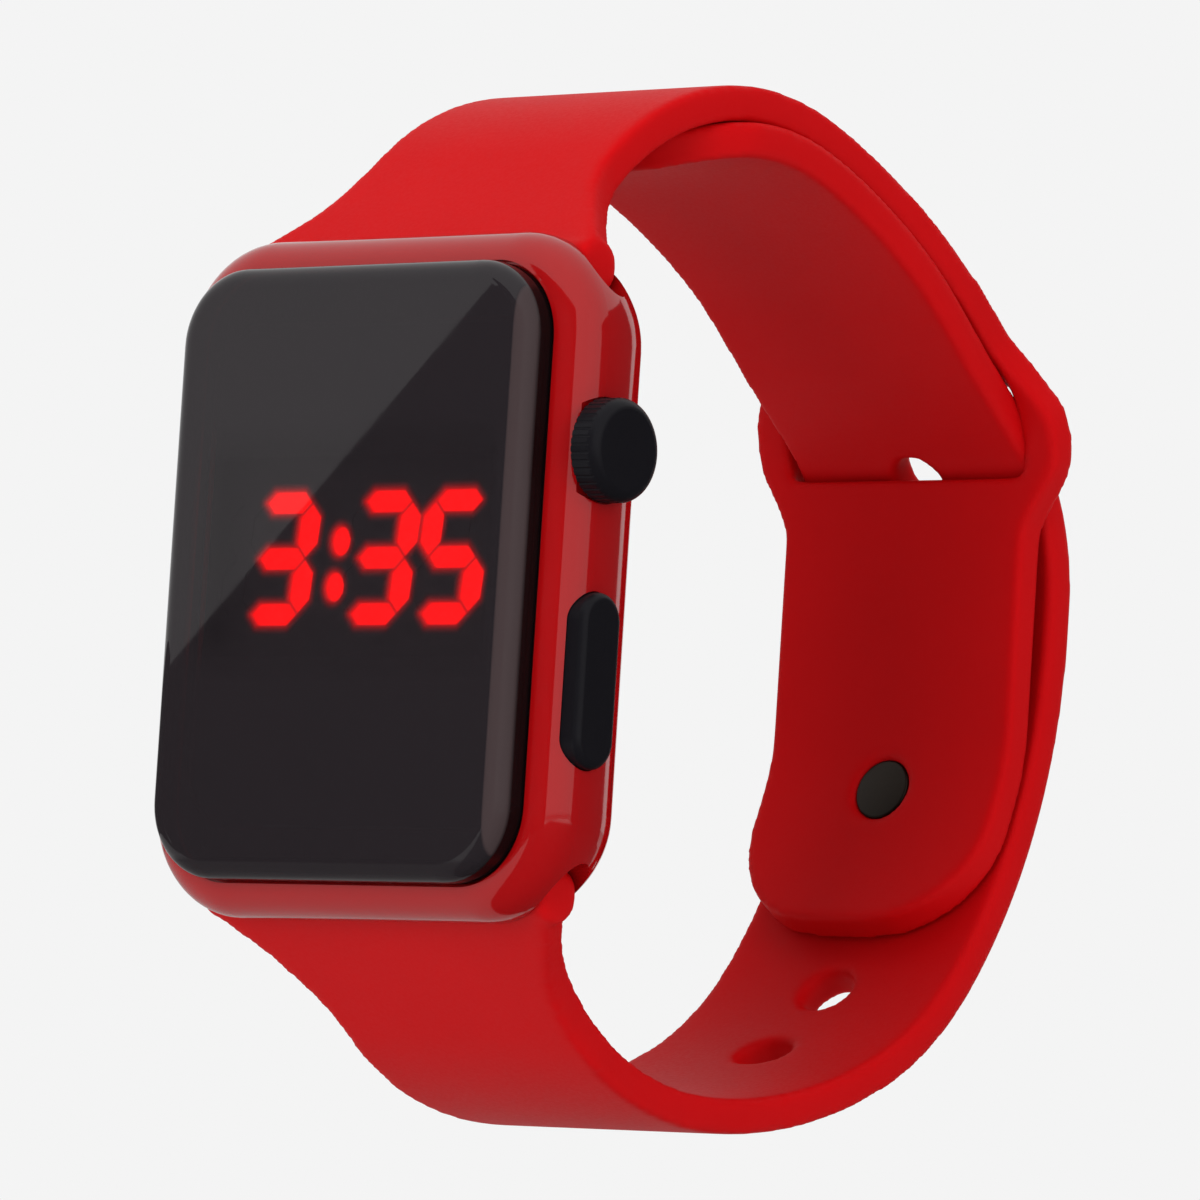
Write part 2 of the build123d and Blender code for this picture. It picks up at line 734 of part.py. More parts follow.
strip_z = (CELL_AT[1] - STRIP_W / 2, CELL_AT[1] + STRIP_W / 2)
under_board = BOARD_H - STRIP_T
with BuildPart() as battery_clip:
    add(block((CLIP_OUT_X, CLIP_IN_X), (CLIP_LOW_H, CLIP_LOW_H + STRIP_T), strip_z))
    add(block((CLIP_OUT_X, CLIP_OUT_X + STRIP_T), (CLIP_LOW_H, BOARD_H), strip_z))
    add(block((CLIP_OUT_X, CLIP_OUT_X + CLIP_TAB_L), (under_board, BOARD_H), strip_z))
battery_clip.part.label = "battery_clip"
export_step(battery_clip.part, "parts/battery_clip.step")

with BuildPart() as battery_spring:
    with BuildSketch(Plane.XY.offset(strip_z[0])):
        with BuildLine():
            bow_low = -BOW_LOW_H - STRIP_T
            bow_x = (-BOW_HALF_L - BOW_FOOT_L, -BOW_HALF_L, 0, BOW_HALF_L, BOW_HALF_L + BOW_FOOT_L)
            bow_y = (-BOARD_H, -BOARD_H, bow_low, -BOARD_H, -BOARD_H)
            upper = [(CELL_AT[0] + x, y) for x, y in zip(bow_x, bow_y)]
            lower = [(x, y + STRIP_T) for x, y in reversed(upper)]
            Polyline(*upper, *lower, close=True)
        make_face()
    extrude(amount=STRIP_W)
battery_spring.part.label = "battery_spring"
export_step(battery_spring.part, "parts/battery_spring.step")


# Leaf springs that the button stems press: a foot under the board and an upright leaf
def leaf_spring(finger_z):
    low_z = min(finger_z) - CONTACT_W / 2
    high_z = max(finger_z) + CONTACT_W / 2
    with BuildPart() as leaf:
        foot_span = (low_z, high_z)
        add(block((CONTACT_FOOT_X, CONTACT_X), (under_board, under_board + CONTACT_T), foot_span))
        for z in finger_z:
            span = (z - CONTACT_W / 2, z + CONTACT_W / 2)
            add(block((CONTACT_X - CONTACT_T, CONTACT_X), (under_board, CONTACT_TOP_H), span))
    return leaf.part


crown_contact = leaf_spring([CROWN_Z])
crown_contact.label = "crown_contact"
export_step(crown_contact, "parts/crown_contact.step")

pill_contact = leaf_spring([PILL_Z - PILL_STEM_RISE, PILL_Z + PILL_STEM_RISE])
pill_contact.label = "pill_contact"
export_step(pill_contact, "parts/pill_contact.step")


# Stem with a groove for the seal and a narrow neck for the clip
def stem_profile(radius, neck_r, cap_x):
    seal_r = radius - 2 * SEAL_WIRE_R
    neck_x = (CLIP_X - CLIP_GAP, CLIP_X + CLIP_T + CLIP_GAP)
    groove_x = (SEAL_X - SEAL_GROOVE_W / 2, SEAL_X + SEAL_GROOVE_W / 2)
    return [
        (STEM_END_X, 0),
        (STEM_END_X, radius),
        (neck_x[0], radius),
        (neck_x[0], neck_r),
        (neck_x[1], neck_r),
        (neck_x[1], radius),
        (groove_x[0], radius),
        (groove_x[0], seal_r),
        (groove_x[1], seal_r),
        (groove_x[1], radius),
        (cap_x, radius),
        (cap_x, 0),
    ]


def turned(points, z):
    """A turned piece about a button stem's axis, from the points (x, radius) of its profile."""
    with BuildPart() as piece:
        with BuildSketch(Plane(origin=(0, -BUTTON_H, z), x_dir=(1, 0, 0), z_dir=(0, -1, 0))):
            with BuildLine():
                Polyline(*points, close=True)
            make_face()
        revolve(axis=Axis((0, -BUTTON_H, z), (1, 0, 0)))
    return piece.part


def clip_ring(neck_r, outer_r, z):
    """An open retaining ring in the neck of a stem."""
    with BuildPart() as ring:
        with BuildSketch(stem_plane(CLIP_X, z)):
            Circle(outer_r)
            Circle(neck_r + CLIP_GAP, mode=Mode.SUBTRACT)
            with Locations((0, outer_r / 2)):
                Rectangle(neck_r * CLIP_MOUTH, outer_r, mode=Mode.SUBTRACT)
        extrude(amount=CLIP_T)
    return ring.part


def seal_ring(stem_r, z):
    """A rubber ring that fills a stem's groove out to the bore."""
    with BuildPart() as ring:
        with BuildSketch(Plane(origin=(0, -BUTTON_H, z), x_dir=(1, 0, 0), z_dir=(0, -1, 0))):
            with Locations((SEAL_X, stem_r - SEAL_WIRE_R + BORE_GAP / 2)):
                Circle(SEAL_WIRE_R)
        revolve(axis=Axis((0, -BUTTON_H, z), (1, 0, 0)))
    return ring.part


crown_turning = turned(stem_profile(CROWN_STEM_R, CROWN_STEM_NECK_R, CROWN_INNER_X + STEM_LAP), CROWN_Z)
with BuildPart() as crown:
    with BuildSketch(Plane(origin=(0, -BUTTON_H, CROWN_Z), x_dir=(1, 0, 0), z_dir=(0, -1, 0))):
        with BuildLine():
            base = Polyline((CROWN_INNER_X, 0), (CROWN_INNER_X, CROWN_R), (CROWN_RIM_X, CROWN_R))
            shoulder = ThreePointArc(base @ 1, CROWN_SHOULDER_MID, (CROWN_OUT_X, CROWN_FACE_R))
            Polyline(shoulder @ 1, (CROWN_OUT_X, 0), base @ 0)
        make_face()
    revolve(axis=Axis((0, -BUTTON_H, CROWN_Z), (1, 0, 0)))
    with BuildSketch(stem_plane(CROWN_INNER_X, CROWN_Z)):
        with PolarLocations(CROWN_R + CROWN_RIB_R / 2, CROWN_RIBS):
            Circle(CROWN_RIB_R)
    extrude(amount=CROWN_OUT_X - CROWN_INNER_X, mode=Mode.SUBTRACT)
    add(crown_turning)
crown.part.label = "crown"
export_step(crown.part, "parts/crown.step")

crown_clip = clip_ring(CROWN_STEM_NECK_R, CROWN_CLIP_R, CROWN_Z)
crown_clip.label = "crown_clip"
export_step(crown_clip, "parts/crown_clip.step")

crown_seal = seal_ring(CROWN_STEM_R, CROWN_Z)
crown_seal.label = "crown_seal"
export_step(crown_seal, "parts/crown_seal.step")

pill_stem_z = (PILL_Z - PILL_STEM_RISE, PILL_Z + PILL_STEM_RISE)
with BuildPart() as pill_button:
    with BuildSketch(stem_plane(PILL_INNER_X, PILL_Z)):
        SlotOverall(PILL_L, PILL_W)
    extrude(amount=PILL_OUT_X - PILL_INNER_X)
    fillet(pill_button.faces().sort_by(Axis.X)[-1].edges(), PILL_EDGE_R)
    for z in pill_stem_z:
        add(turned(stem_profile(PILL_STEM_R, PILL_STEM_NECK_R, PILL_INNER_X + STEM_LAP), z))
pill_button.part.label = "pill_button"
export_step(pill_button.part, "parts/pill_button.step")

with BuildPart() as pill_clips:
    for z in pill_stem_z:
        add(clip_ring(PILL_STEM_NECK_R, PILL_CLIP_R, z))
pill_clips.part.label = "pill_clips"
export_step(pill_clips.part, "parts/pill_clips.step")

with BuildPart() as pill_seals:
    for z in pill_stem_z:
        add(seal_ring(PILL_STEM_R, z))
pill_seals.part.label = "pill_seals"
export_step(pill_seals.part, "parts/pill_seals.step")

# Case back with its gasket and four screws
with BuildPart() as case_back:
    with BuildSketch(face_plane(0)):
        RectangleRounded(BACK_W, BACK_L, BACK_R)
    extrude(amount=BACK_T)
    chamfer(case_back.faces().sort_by(Axis.Y)[-1].edges(), BACK_CHAMFER)
    with BuildSketch(face_plane(0)):
        with GridLocations(2 * SCREW_AT[0], 2 * SCREW_AT[1], 2, 2):
            Circle(SCREW_HEAD_R + SCREW_GAP)
    extrude(amount=SCREW_HEAD_T + SCREW_GAP, mode=Mode.SUBTRACT)
    with BuildSketch(face_plane(0)):
        with GridLocations(2 * SCREW_AT[0], 2 * SCREW_AT[1], 2, 2):
            Circle(SCREW_R + SCREW_GAP)
    extrude(amount=BACK_T, mode=Mode.SUBTRACT)
case_back.part.label = "case_back"
export_step(case_back.part, "parts/case_back.step")

with BuildPart() as back_gasket:
    with BuildSketch(face_plane(BACK_T)):
        RectangleRounded(
            GASKET_MID[0] + GASKET_W, GASKET_MID[1] + GASKET_W, GASKET_MID_R + GASKET_W / 2
        )
        RectangleRounded(
            GASKET_MID[0] - GASKET_W,
            GASKET_MID[1] - GASKET_W,
            GASKET_MID_R - GASKET_W / 2,
            mode=Mode.SUBTRACT,
        )
    extrude(amount=GASKET_T)
back_gasket.part.label = "back_gasket"
export_step(back_gasket.part, "parts/back_gasket.step")

with BuildPart() as case_screws:
    with BuildSketch(face_plane(0)):
        with GridLocations(2 * SCREW_AT[0], 2 * SCREW_AT[1], 2, 2):
            Circle(SCREW_HEAD_R)
            Rectangle(SCREW_SLOT_W, 2 * SCREW_HEAD_R, mode=Mode.SUBTRACT)
            Rectangle(2 * SCREW_HEAD_R, SCREW_SLOT_W, mode=Mode.SUBTRACT)
    extrude(amount=SCREW_SLOT_T)
    with BuildSketch(face_plane(SCREW_SLOT_T)):
        with GridLocations(2 * SCREW_AT[0], 2 * SCREW_AT[1], 2, 2):
            Circle(SCREW_HEAD_R)
    extrude(amount=SCREW_HEAD_T - SCREW_SLOT_T)
    with BuildSketch(face_plane(SCREW_HEAD_T)):
        with GridLocations(2 * SCREW_AT[0], 2 * SCREW_AT[1], 2, 2):
            Circle(SCREW_R)
    extrude(amount=SCREW_L)
case_screws.part.label = "case_screws"
export_step(case_screws.part, "parts/case_screws.step")


# Straps: a side view cut to the outline that the face sees, with rounded long edges
def strap_end_bar(side):
    """The bar that lies in the case's groove, on the upper (1) or lower (-1) side."""
    with BuildPart() as bar:
        with BuildSketch(Plane.YZ):
            with Locations((-LUG_H, side * LUG_Z)):
                Circle(LUG_BAR_R)
        extrude(amount=LUG_HALF_W, both=True)
    return bar.part


def rod_hole(side, radius, low_x, high_x):
    """A cylinder along a strap end's bar."""
    with BuildPart() as rod:
        with BuildSketch(Plane(origin=(low_x, -LUG_H, side * LUG_Z), z_dir=(1, 0, 0))):
            Circle(radius)
        extrude(amount=high_x - low_x)
    return rod.part


def long_edges(part):
    """The edges that run along a strap, on its side faces behind the case's back."""
    sides = part.faces().filter_by(lambda face: abs(face.normal_at().X) > SIDE_FACE_X)
    edges = ShapeList()
    for face in sides.filter_by(lambda face: face.center().Y > 0):
        edges += face.edges().filter_by(
            lambda edge: edge.length > LONG_EDGE_L or edge.geom_type != GeomType.LINE
        )
    return edges


pin_half_w = PIN_W / 2
shoulder_points = [(LUG_HALF_W, LUG_Z - LUG_GROOVE_R), (LUG_HALF_W, LUG_SHOULDER[0][0])]
pin_front_plan = plan_prism(
    shoulder_points + [(pin_half_w, LUG_SHOULDER[1][0]), (pin_half_w, CASE_L)],
    LUG_SHOULDER,
    -FACE_H,
    CASE_W / 2,
)
ear_points = list(zip((pin_half_w, EAR_HALF_W, EAR_HALF_W, pin_half_w), EAR_Z))
pin_back_plan = plan_prism(
    [(pin_half_w, -CASE_L)] + ear_points + [(pin_half_w, CASE_L)],
    [(z, EAR_R) for z in EAR_Z],
    CASE_W / 2,
    2 * CASE_W,
)
slot_clear = side_view(back_at, 90, turn_runs + tuck_runs[:1], LAYER_GAP, -HOLE_T - LAYER_GAP)
with BuildPart() as pin_strap:
    extrude(side_view(PIN_START, PIN_HEADING, pin_runs, 0, PIN_T), amount=LUG_HALF_W, both=True)
    add(strap_end_bar(1))
    add(pin_front_plan + pin_back_plan, mode=Mode.INTERSECT)
    tip = pin_strap.faces().sort_by(Axis.Z)[0]
    fillet(tip.edges().sort_by(SortBy.LENGTH)[:2], PIN_END_CORNER_R)
    fillet(long_edges(pin_strap.part), STRAP_EDGE_R)
    extrude(slot_clear, amount=SLOT_HALF_W, both=True, mode=Mode.SUBTRACT)
    with BuildSketch(Plane.XZ.offset(-SLOT_Y[1])):
        with Locations((0, sum(SLOT_Z) / 2)):
            Rectangle(2 * SLOT_HALF_W, SLOT_Z[1] - SLOT_Z[0])
    extrude(amount=SLOT_Y[1] - SLOT_Y[0], mode=Mode.SUBTRACT)
    add(rod_hole(1, LUG_ROD_R + STUD_FIT, -LUG_HALF_W, LUG_ROD_END_X), mode=Mode.SUBTRACT)
    with BuildSketch(stud_plane.offset(-2 * PIN_T)):
        Circle(STUD_DISC_R + STUD_FIT)
    extrude(amount=PIN_T + STUD_DISC_SINK + STUD_DISC_T, mode=Mode.SUBTRACT)
    with BuildSketch(stud_plane.offset(-2 * PIN_T)):
        Circle(STUD_SHANK_R + STUD_FIT)
    extrude(amount=3 * PIN_T, mode=Mode.SUBTRACT)
pin_strap.part.label = "pin_strap"
export_step(pin_strap.part, "parts/pin_strap.step")

hole_half_w = HOLE_END_W / 2
lower_points = [(x, -z) for x, z in reversed(shoulder_points + [(HOLE_W / 2, LUG_SHOULDER[1][0])])]
hole_front_plan = plan_prism(
    [(hole_half_w, -HOLE_TAPER_Z)] + lower_points,
    [(-z, radius) for z, radius in LUG_SHOULDER],
    -FACE_H,
    CASE_W,
)
with BuildPart() as hole_strap:
    extrude(side_view(HOLE_START, HOLE_HEADING, front_runs, 0, -HOLE_T), amount=LUG_HALF_W, both=True)
    add(strap_end_bar(-1))
    add(hole_front_plan, mode=Mode.INTERSECT)
    fillet(long_edges(hole_strap.part), STRAP_EDGE_R)
    add(rod_hole(-1, LUG_ROD_R + STUD_FIT, -LUG_HALF_W, LUG_ROD_END_X), mode=Mode.SUBTRACT)
hole_strap.part.label = "hole_strap"
export_step(hole_strap.part, "parts/hole_strap.step")

with BuildPart() as strap_holes:
    for plane in hole_planes:
        with BuildSketch(plane.offset(-HOLE_T)):
            Circle(HOLE_D / 2)
        extrude(amount=2 * HOLE_T)

with BuildPart() as hole_strap_end:
    extrude(side_view(flex_at, HOLE_FLEX_HEADING, end_runs, 0, -HOLE_T), amount=hole_half_w, both=True)
    fillet(long_edges(hole_strap_end.part), STRAP_EDGE_R)
    add(strap_holes.part, mode=Mode.SUBTRACT)
hole_strap_end.part.label = "hole_strap_end"
export_step(hole_strap_end.part, "parts/hole_strap_end.step")

with BuildPart() as hole_strap_tail:
    extrude(side_view(split_at, TAIL_SPLIT_HEADING, tail_runs, 0, -HOLE_T), amount=hole_half_w, both=True)
    tip = hole_strap_tail.faces().sort_by(Axis.Y)[0]
    fillet(tip.edges().sort_by(SortBy.LENGTH)[:2], TAIL_TIP_CORNER_R)
    fillet(long_edges(hole_strap_tail.part), STRAP_EDGE_R)
    add(strap_holes.part, mode=Mode.SUBTRACT)
hole_strap_tail.part.label = "hole_strap_tail"
export_step(hole_strap_tail.part, "parts/hole_strap_tail.step")

# Steel rods in the strap ends
for name, side in (("upper_lug_rod", 1), ("lower_lug_rod", -1)):
    rod = rod_hole(side, LUG_ROD_R, LUG_ROD_END_X - LUG_ROD_L, LUG_ROD_END_X)
    rod.label = name
    export_step(rod, f"parts/{name}.step")

# Stud: a disc and shank in the pin strap, and a domed head outside the hole strap
disc_at = STUD_DISC_SINK - PIN_T
with BuildPart() as stud_base:
    with BuildSketch(stud_plane.offset(disc_at)):
        Circle(STUD_DISC_R)
    extrude(amount=STUD_DISC_T)
    with BuildSketch(stud_plane.offset(disc_at)):
        Circle(STUD_SHANK_R)
    extrude(amount=STUD_SHANK_OUT - disc_at)
stud_base.part.label = "stud_base"
export_step(stud_base.part, "parts/stud_base.step")

head_at = LAYER_GAP + HOLE_T + STUD_HEAD_GAP
with BuildPart() as stud_head:
    with BuildSketch(stud_plane.offset(STUD_FIT)):
        Circle(STUD_NECK_R)
    extrude(amount=head_at)
    with BuildSketch(stud_plane.offset(head_at)):
        Circle(STUD_HEAD_R)
    extrude(amount=STUD_HEAD_T)
    fillet(stud_head.faces().sort_by(Axis.Y)[-1].edges(), STUD_HEAD_EDGE_R)
    with BuildSketch(stud_plane.offset(-STUD_FIT)):
        Circle(STUD_SHANK_R + STUD_FIT)
    extrude(amount=STUD_SHANK_OUT + 2 * STUD_FIT, mode=Mode.SUBTRACT)
stud_head.part.label = "stud_head"
export_step(stud_head.part, "parts/stud_head.step")
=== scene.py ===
"""Looks of the square LED watch: silicone straps, moulded case, tinted lens, lights and camera.

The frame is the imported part's own: +X to 3 o'clock, +Z to 12 o'clock, the face looks along -Y.
Sizes on the watch are in millimetres and turned to metres where a mesh is made. The studio is in metres.
"""
import json
from math import cos, exp, hypot, radians, sin, sqrt

import bmesh
import bpy
from mathutils import Matrix, Vector
from mathutils.bvhtree import BVHTree

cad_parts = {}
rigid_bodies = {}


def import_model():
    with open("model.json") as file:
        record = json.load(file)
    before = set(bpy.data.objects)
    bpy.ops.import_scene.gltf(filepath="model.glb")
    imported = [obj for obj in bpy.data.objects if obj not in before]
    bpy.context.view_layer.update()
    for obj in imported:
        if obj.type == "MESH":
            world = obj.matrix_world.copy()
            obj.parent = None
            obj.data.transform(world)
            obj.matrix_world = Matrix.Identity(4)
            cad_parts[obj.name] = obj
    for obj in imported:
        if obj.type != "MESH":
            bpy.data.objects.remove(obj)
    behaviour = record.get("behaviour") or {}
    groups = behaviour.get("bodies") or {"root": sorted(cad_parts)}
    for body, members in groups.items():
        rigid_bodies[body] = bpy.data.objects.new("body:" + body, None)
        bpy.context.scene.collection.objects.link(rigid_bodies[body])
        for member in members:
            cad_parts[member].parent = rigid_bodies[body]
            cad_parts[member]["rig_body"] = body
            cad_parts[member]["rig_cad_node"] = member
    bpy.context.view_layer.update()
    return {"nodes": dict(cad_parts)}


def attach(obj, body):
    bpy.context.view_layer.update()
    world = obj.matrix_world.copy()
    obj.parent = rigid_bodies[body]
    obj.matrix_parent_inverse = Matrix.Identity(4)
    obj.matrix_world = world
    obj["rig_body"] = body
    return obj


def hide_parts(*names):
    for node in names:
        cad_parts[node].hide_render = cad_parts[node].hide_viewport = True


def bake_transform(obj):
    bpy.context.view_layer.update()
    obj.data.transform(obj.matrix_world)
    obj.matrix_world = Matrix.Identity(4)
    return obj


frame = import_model()
nodes = frame["nodes"]
MM = 0.001

# Pin strap, along its outer face. Each run is (length, 0) or (radius, turn), seen from the 3 o'clock side
PIN_T = 2.3
PIN_HALF = 10.0
PIN_START = (-5.62, 20.33)
PIN_HEADING = 43.5
PIN_CREST_R = 21.4
PIN_BACK_R = 50.0
PIN_RUNS = [
    (10.83, 0),  # out of the lug
    (PIN_CREST_R, -63.0),  # over the crest
    (PIN_BACK_R, -26.5),  # down to the ears
    (12.5, -44.0),  # past the slot
    (15.83, 0),  # straight down the back
    (15.0, -17.6),  # in towards the stud
    (37.55, -16.5),  # stud end
]

# Hole strap, in the same way, from its lug round the wrist and through the slot
HOLE_T = 2.3
HOLE_HALF = 9.6
HOLE_END_HALF = 9.75
HOLE_TAPER_L = 30
HOLE_START = (-5.5, -20.55)
HOLE_HEADING = -37.5
HOLE_BACK_R = 40.1
FRONT_RUNS = [
    (11.42, 0),  # out of the lug
    (24.65, 37.5),  # until it lies level
    (33.77, 26.77),  # under the wrist
    (25.09, 26.78),  # turning up
]
HOLE_BACK_HEADING = HOLE_HEADING + sum(turn for _, turn in FRONT_RUNS)
BACK_RUN = [(HOLE_BACK_R, 90 - HOLE_BACK_HEADING)]
# Here it heads straight up, and then it is tucked in and lies inside the pin strap
TUCK_START = (50.5, 2.34)
TUCK_RUNS = [
    (1.8, 0),  # straight up the back
    (15.0, 51.0),  # leaning in to the slot
    (6.03, 0),  # through the slot
    (9.0, -4.0),  # bending back to the pin strap
]
LAYER_GAP = 0.25
NEST_R = PIN_BACK_R - PIN_T - LAYER_GAP
TAIL_RUNS = TUCK_RUNS + [
    (NEST_R, 23.5),  # along its inner face
    (PIN_CREST_R - PIN_T - LAYER_GAP, 47.0),  # and under its crest
]
TUCKED_HEADING = 142
TAIL_PRESS = 0.2
PRESS_EASE = 3

# Widths: corners (height, half width, reach of the curve round the corner)
LUG_HALF = 14.2
EAR_HALF = 12.6
EAR_CURVE = 1.05
SHOULDERS = [
    (17.3, LUG_HALF, 0),
    (20.3, LUG_HALF, 0.9),
    (24.4, PIN_HALF, 2.6),
    (30.0, PIN_HALF, 0),
]
EARS = [
    (5.0, PIN_HALF, 0),
    (8.8, PIN_HALF, EAR_CURVE),
    (13.0, EAR_HALF, EAR_CURVE),
    (16.0, EAR_HALF, EAR_CURVE),
    (20.2, PIN_HALF, EAR_CURVE),
    (24.0, PIN_HALF, 0),
]
SHOULDER_END_Y = 21.0
TIP_R = 7.75

# How the closed straps lean: steps (millimetres to 3 o'clock, start and end of the step along the strap)
HOLE_LEAN = [(-0.3, 3, 8), (-0.6, 8, 20), (1.3, 22, 50)]
PIN_LEAN = [(-0.7, 3, 10), (0.7, 30, 55)]

# Lug bars, slot, holes and the stud's place
LUG_H = 4.2
LUG_Z = 19.3
LUG_BAR_R = 1.82
LUG_BAR_EDGE_R = 0.3
SLOT_HALF = 9.85
SLOT_Y = (38.0, 50.0)
SLOT_Z = (12.1, 18.0)
SLOT_CORNER_R = 0.8
SLOT_PLAY = 0.5
SLOT_NEST_TURN = 12
HOLE_R = 1.85
HOLE_PITCH = 7.7
HOLES_EACH_WAY = 3
PUNCH_L = 3 * HOLE_T
# Where the stud's axis meets the pin strap's outer face, in the side view
STUD_AT = (46.134, -9.199)
STUD_DROP = 17.9
STUD_HEADING = 90 - STUD_DROP
DISC_POCKET_R = 2.16
DISC_POCKET_T = 0.9
DISC_INWARDS = 2.0
SHANK_HOLE_R = 0.85
SHANK_HOLE_L = 8

# How finely the straps are made
STEP = 0.8
TIP_PARTS = 3
STRAP_COLUMNS = 20
TOOL_COLUMNS = 6
FIRST_ROW = 0.1
EDGE_R = 0.75
SKIN_GRID = 0.3

# Lens: the display's window in it, its rims and its depth, as limits between which a value changes
WINDOW_LEFT = (-12.5, -9.5)
WINDOW_RIGHT = (12.2, 13.0)
WINDOW_LOW = (-7, -4)
WINDOW_HIGH = (6.5, 9.5)
RIGHT_RIM = (13.2, 13.5)
# Where the right rim carries a lighter band of painted reflection
RIGHT_REFLECTION_BAND = (13.25, 13.4)
LOWER_RIM = (-18.0, -17.7)
LENS_WALL = (-9.9, -9.6)
LENS_SKIN = (-8.6, -8.3)

# How opaque its tint is outside and inside the window, how much it mirrors off and on its rims, and how much
# more in the window, and the painted tones of its right rim and of its wall: a lighter painted reflection on
# the rim and a darker painted shade on the wall
LENS_TINT = (0.97, 0.62)
LENS_MIRROR = (0.3, 0.08)
WINDOW_MIRROR = 0.16
# Painted reflection: the right rim's band is lighter, as if it mirrored a soft box
PAINTED_REFLECTION_TONE = "433839"
# Painted shade: the lens's side wall is darker, where the gap round it lies in shadow
PAINTED_WALL_SHADE = "120a0b"

# Glow film, a painted glow round the lit bars: its place under the lens, how fast the painted glow fades with
# the distance from a bar, and how much of the film the glow covers at most
LIT_RED = "ff0000"
FILM_Y = -8.05
FILM_Z = 1.2
FILM_SIZE = (26.2, 12.4)
FILM_GRID = (210, 100)
FILM_T = 0.03
GLOW_REACH = 0.16
GLOW_END = 1.8
GLOW_COVER = 0.35

# Over this length a material's shade drifts from one of its two colours to the other
DRIFT_L = 9

# Camera, fitted to the photograph, in degrees and millimetres
VIEW_AZIMUTH = 40.499
VIEW_ELEVATION = -4.857
VIEW_ROLL = 3.647
VIEW_AIM = (-0.515, 15.0, 0.886)
VIEW_DISTANCE = 575.83
FOCAL_PIXELS = 9045.6
PHOTO_PIXELS = 1200
SENSOR_W = 36

# Studio, in metres: what the soft boxes are turned to, and the floor under the strap
LIT_POINT = (0, 0.02, 0)
FLOOR_AT = (0, 0.015, -0.062)
FLOOR_R = 1.2


def only(obj):
    """Select this object alone and make it the active one."""
    bpy.ops.object.select_all(action="DESELECT")
    obj.select_set(True)
    bpy.context.view_layer.objects.active = obj


def apply_modifier(obj, kind, **settings):
    """Add a modifier with its settings and apply it."""
    only(obj)
    modifier = obj.modifiers.new(kind.title(), kind)
    for name, value in settings.items():
        setattr(modifier, name, value)
    bpy.ops.object.modifier_apply(modifier=modifier.name)


def place_in_mesh(obj):
    """Put a piece's place, turn and scale into its mesh."""
    only(obj)
    bpy.ops.object.transform_apply(location=True, rotation=True, scale=True)


def ease(value, low, high):
    """A smooth step from 0 to 1 between two values."""
    t = min(1, max(0, (value - low) / (high - low)))
    return t * t * (3 - 2 * t)


def lean(steps, travelled):
    """How far to one side a strap lies at a distance along it."""
    return sum(amount * ease(travelled, low, high) for amount, low, high in steps)


def between(before, here, f):
    """A station a part f of the way from one station to the next."""
    return tuple(a + (b - a) * f for a, b in zip(before, here))


# Paths of the straps, as stations along them
def follow(start, heading, runs):
    """Stations (y, z, heading) along a chain of straight runs and arcs."""
    y, z = start
    stations = [(y, z, heading)]
    for size, turn in runs:
        length = size if turn == 0 else size * radians(abs(turn))
        pieces = max(2, round(length / STEP))
        for _ in range(pieces):
            turned = turn / pieces
            chord = length / pieces
            if turn:
                chord = 2 * size * sin(radians(abs(turned)) / 2)
            middle = radians(heading + turned / 2)
            y += chord * cos(middle)
            z += chord * sin(middle)
            heading += turned
            stations.append((y, z, heading))
    return stations


def to_middle(stations, depth):
    """Stations moved to the right of their heading, from a strap's outer face to its middle."""
    return [(y + depth * sin(radians(h)), z - depth * cos(radians(h)), h) for y, z, h in stations]


def along(stations):
    """The same stations with the distance travelled, as (y, z, heading, travelled)."""
    travelled = 0.0
    measured = [(*stations[0], 0.0)]
    for before, here in zip(stations, stations[1:]):
        travelled += hypot(here[0] - before[0], here[1] - before[1])
        measured.append((*here, travelled))
    return measured


def finer_end(stations):
    """The same stations with shorter steps where the strap's end is rounded."""
    length = stations[-1][3]
    split = [s for s in stations if length - s[3] > TIP_R]
    tail = split[-1:] + [s for s in stations if length - s[3] <= TIP_R]
    for before, here in zip(tail, tail[1:]):
        split += [between(before, here, k / TIP_PARTS) for k in range(1, TIP_PARTS + 1)]
    return split


def pressed_outwards(stations):
    """The tucked tail lies against the strap round it, so it moves outwards by most of their gap."""
    tucked_from = next(travelled for _, _, heading, travelled in stations if heading > TUCKED_HEADING)
    pressed = []
    for y, z, heading, travelled in stations:
        press = TAIL_PRESS * ease(travelled, tucked_from - PRESS_EASE, tucked_from + PRESS_EASE)
        turned = radians(heading)
        pressed.append((y + press * sin(turned), z - press * cos(turned), heading, travelled))
    return pressed


def at_distance(stations, distance):
    """The station at a distance along a strap."""
    for before, here in zip(stations, stations[1:]):
        if here[3] >= distance:
            return between(before, here, (distance - before[3]) / (here[3] - before[3]))
    return stations[-1]


# Widths of the straps
def rounded_width(z, corners):
    """Half width at a height, on straight lines between corners (z, half width, reach of its curve)."""
    if z <= corners[0][0]:
        return corners[0][1]
    if z >= corners[-1][0]:
        return corners[-1][1]
    for low, high in zip(corners, corners[1:]):
        if low[0] <= z <= high[0]:
            slope = (high[1] - low[1]) / (high[0] - low[0])
            width = low[1] + slope * (z - low[0])
            break
    for before, corner, after in zip(corners, corners[1:], corners[2:]):
        reach = corner[2]
        if abs(z - corner[0]) < reach:
            slope_in = (corner[1] - before[1]) / (corner[0] - before[0])
            slope_out = (after[1] - corner[1]) / (after[0] - corner[0])
            t = (z - corner[0] + reach) / (2 * reach)
            width = corner[1] - slope_in * reach * (1 - t) ** 2 + slope_out * reach * t * t
    return width


def rounded_tip(half, left):
    """Half width near a strap's round-cornered end, with so much of the strap left."""
    if left >= TIP_R:
        return half
    return half - TIP_R + sqrt(max(0.0, TIP_R**2 - (TIP_R - left) ** 2))


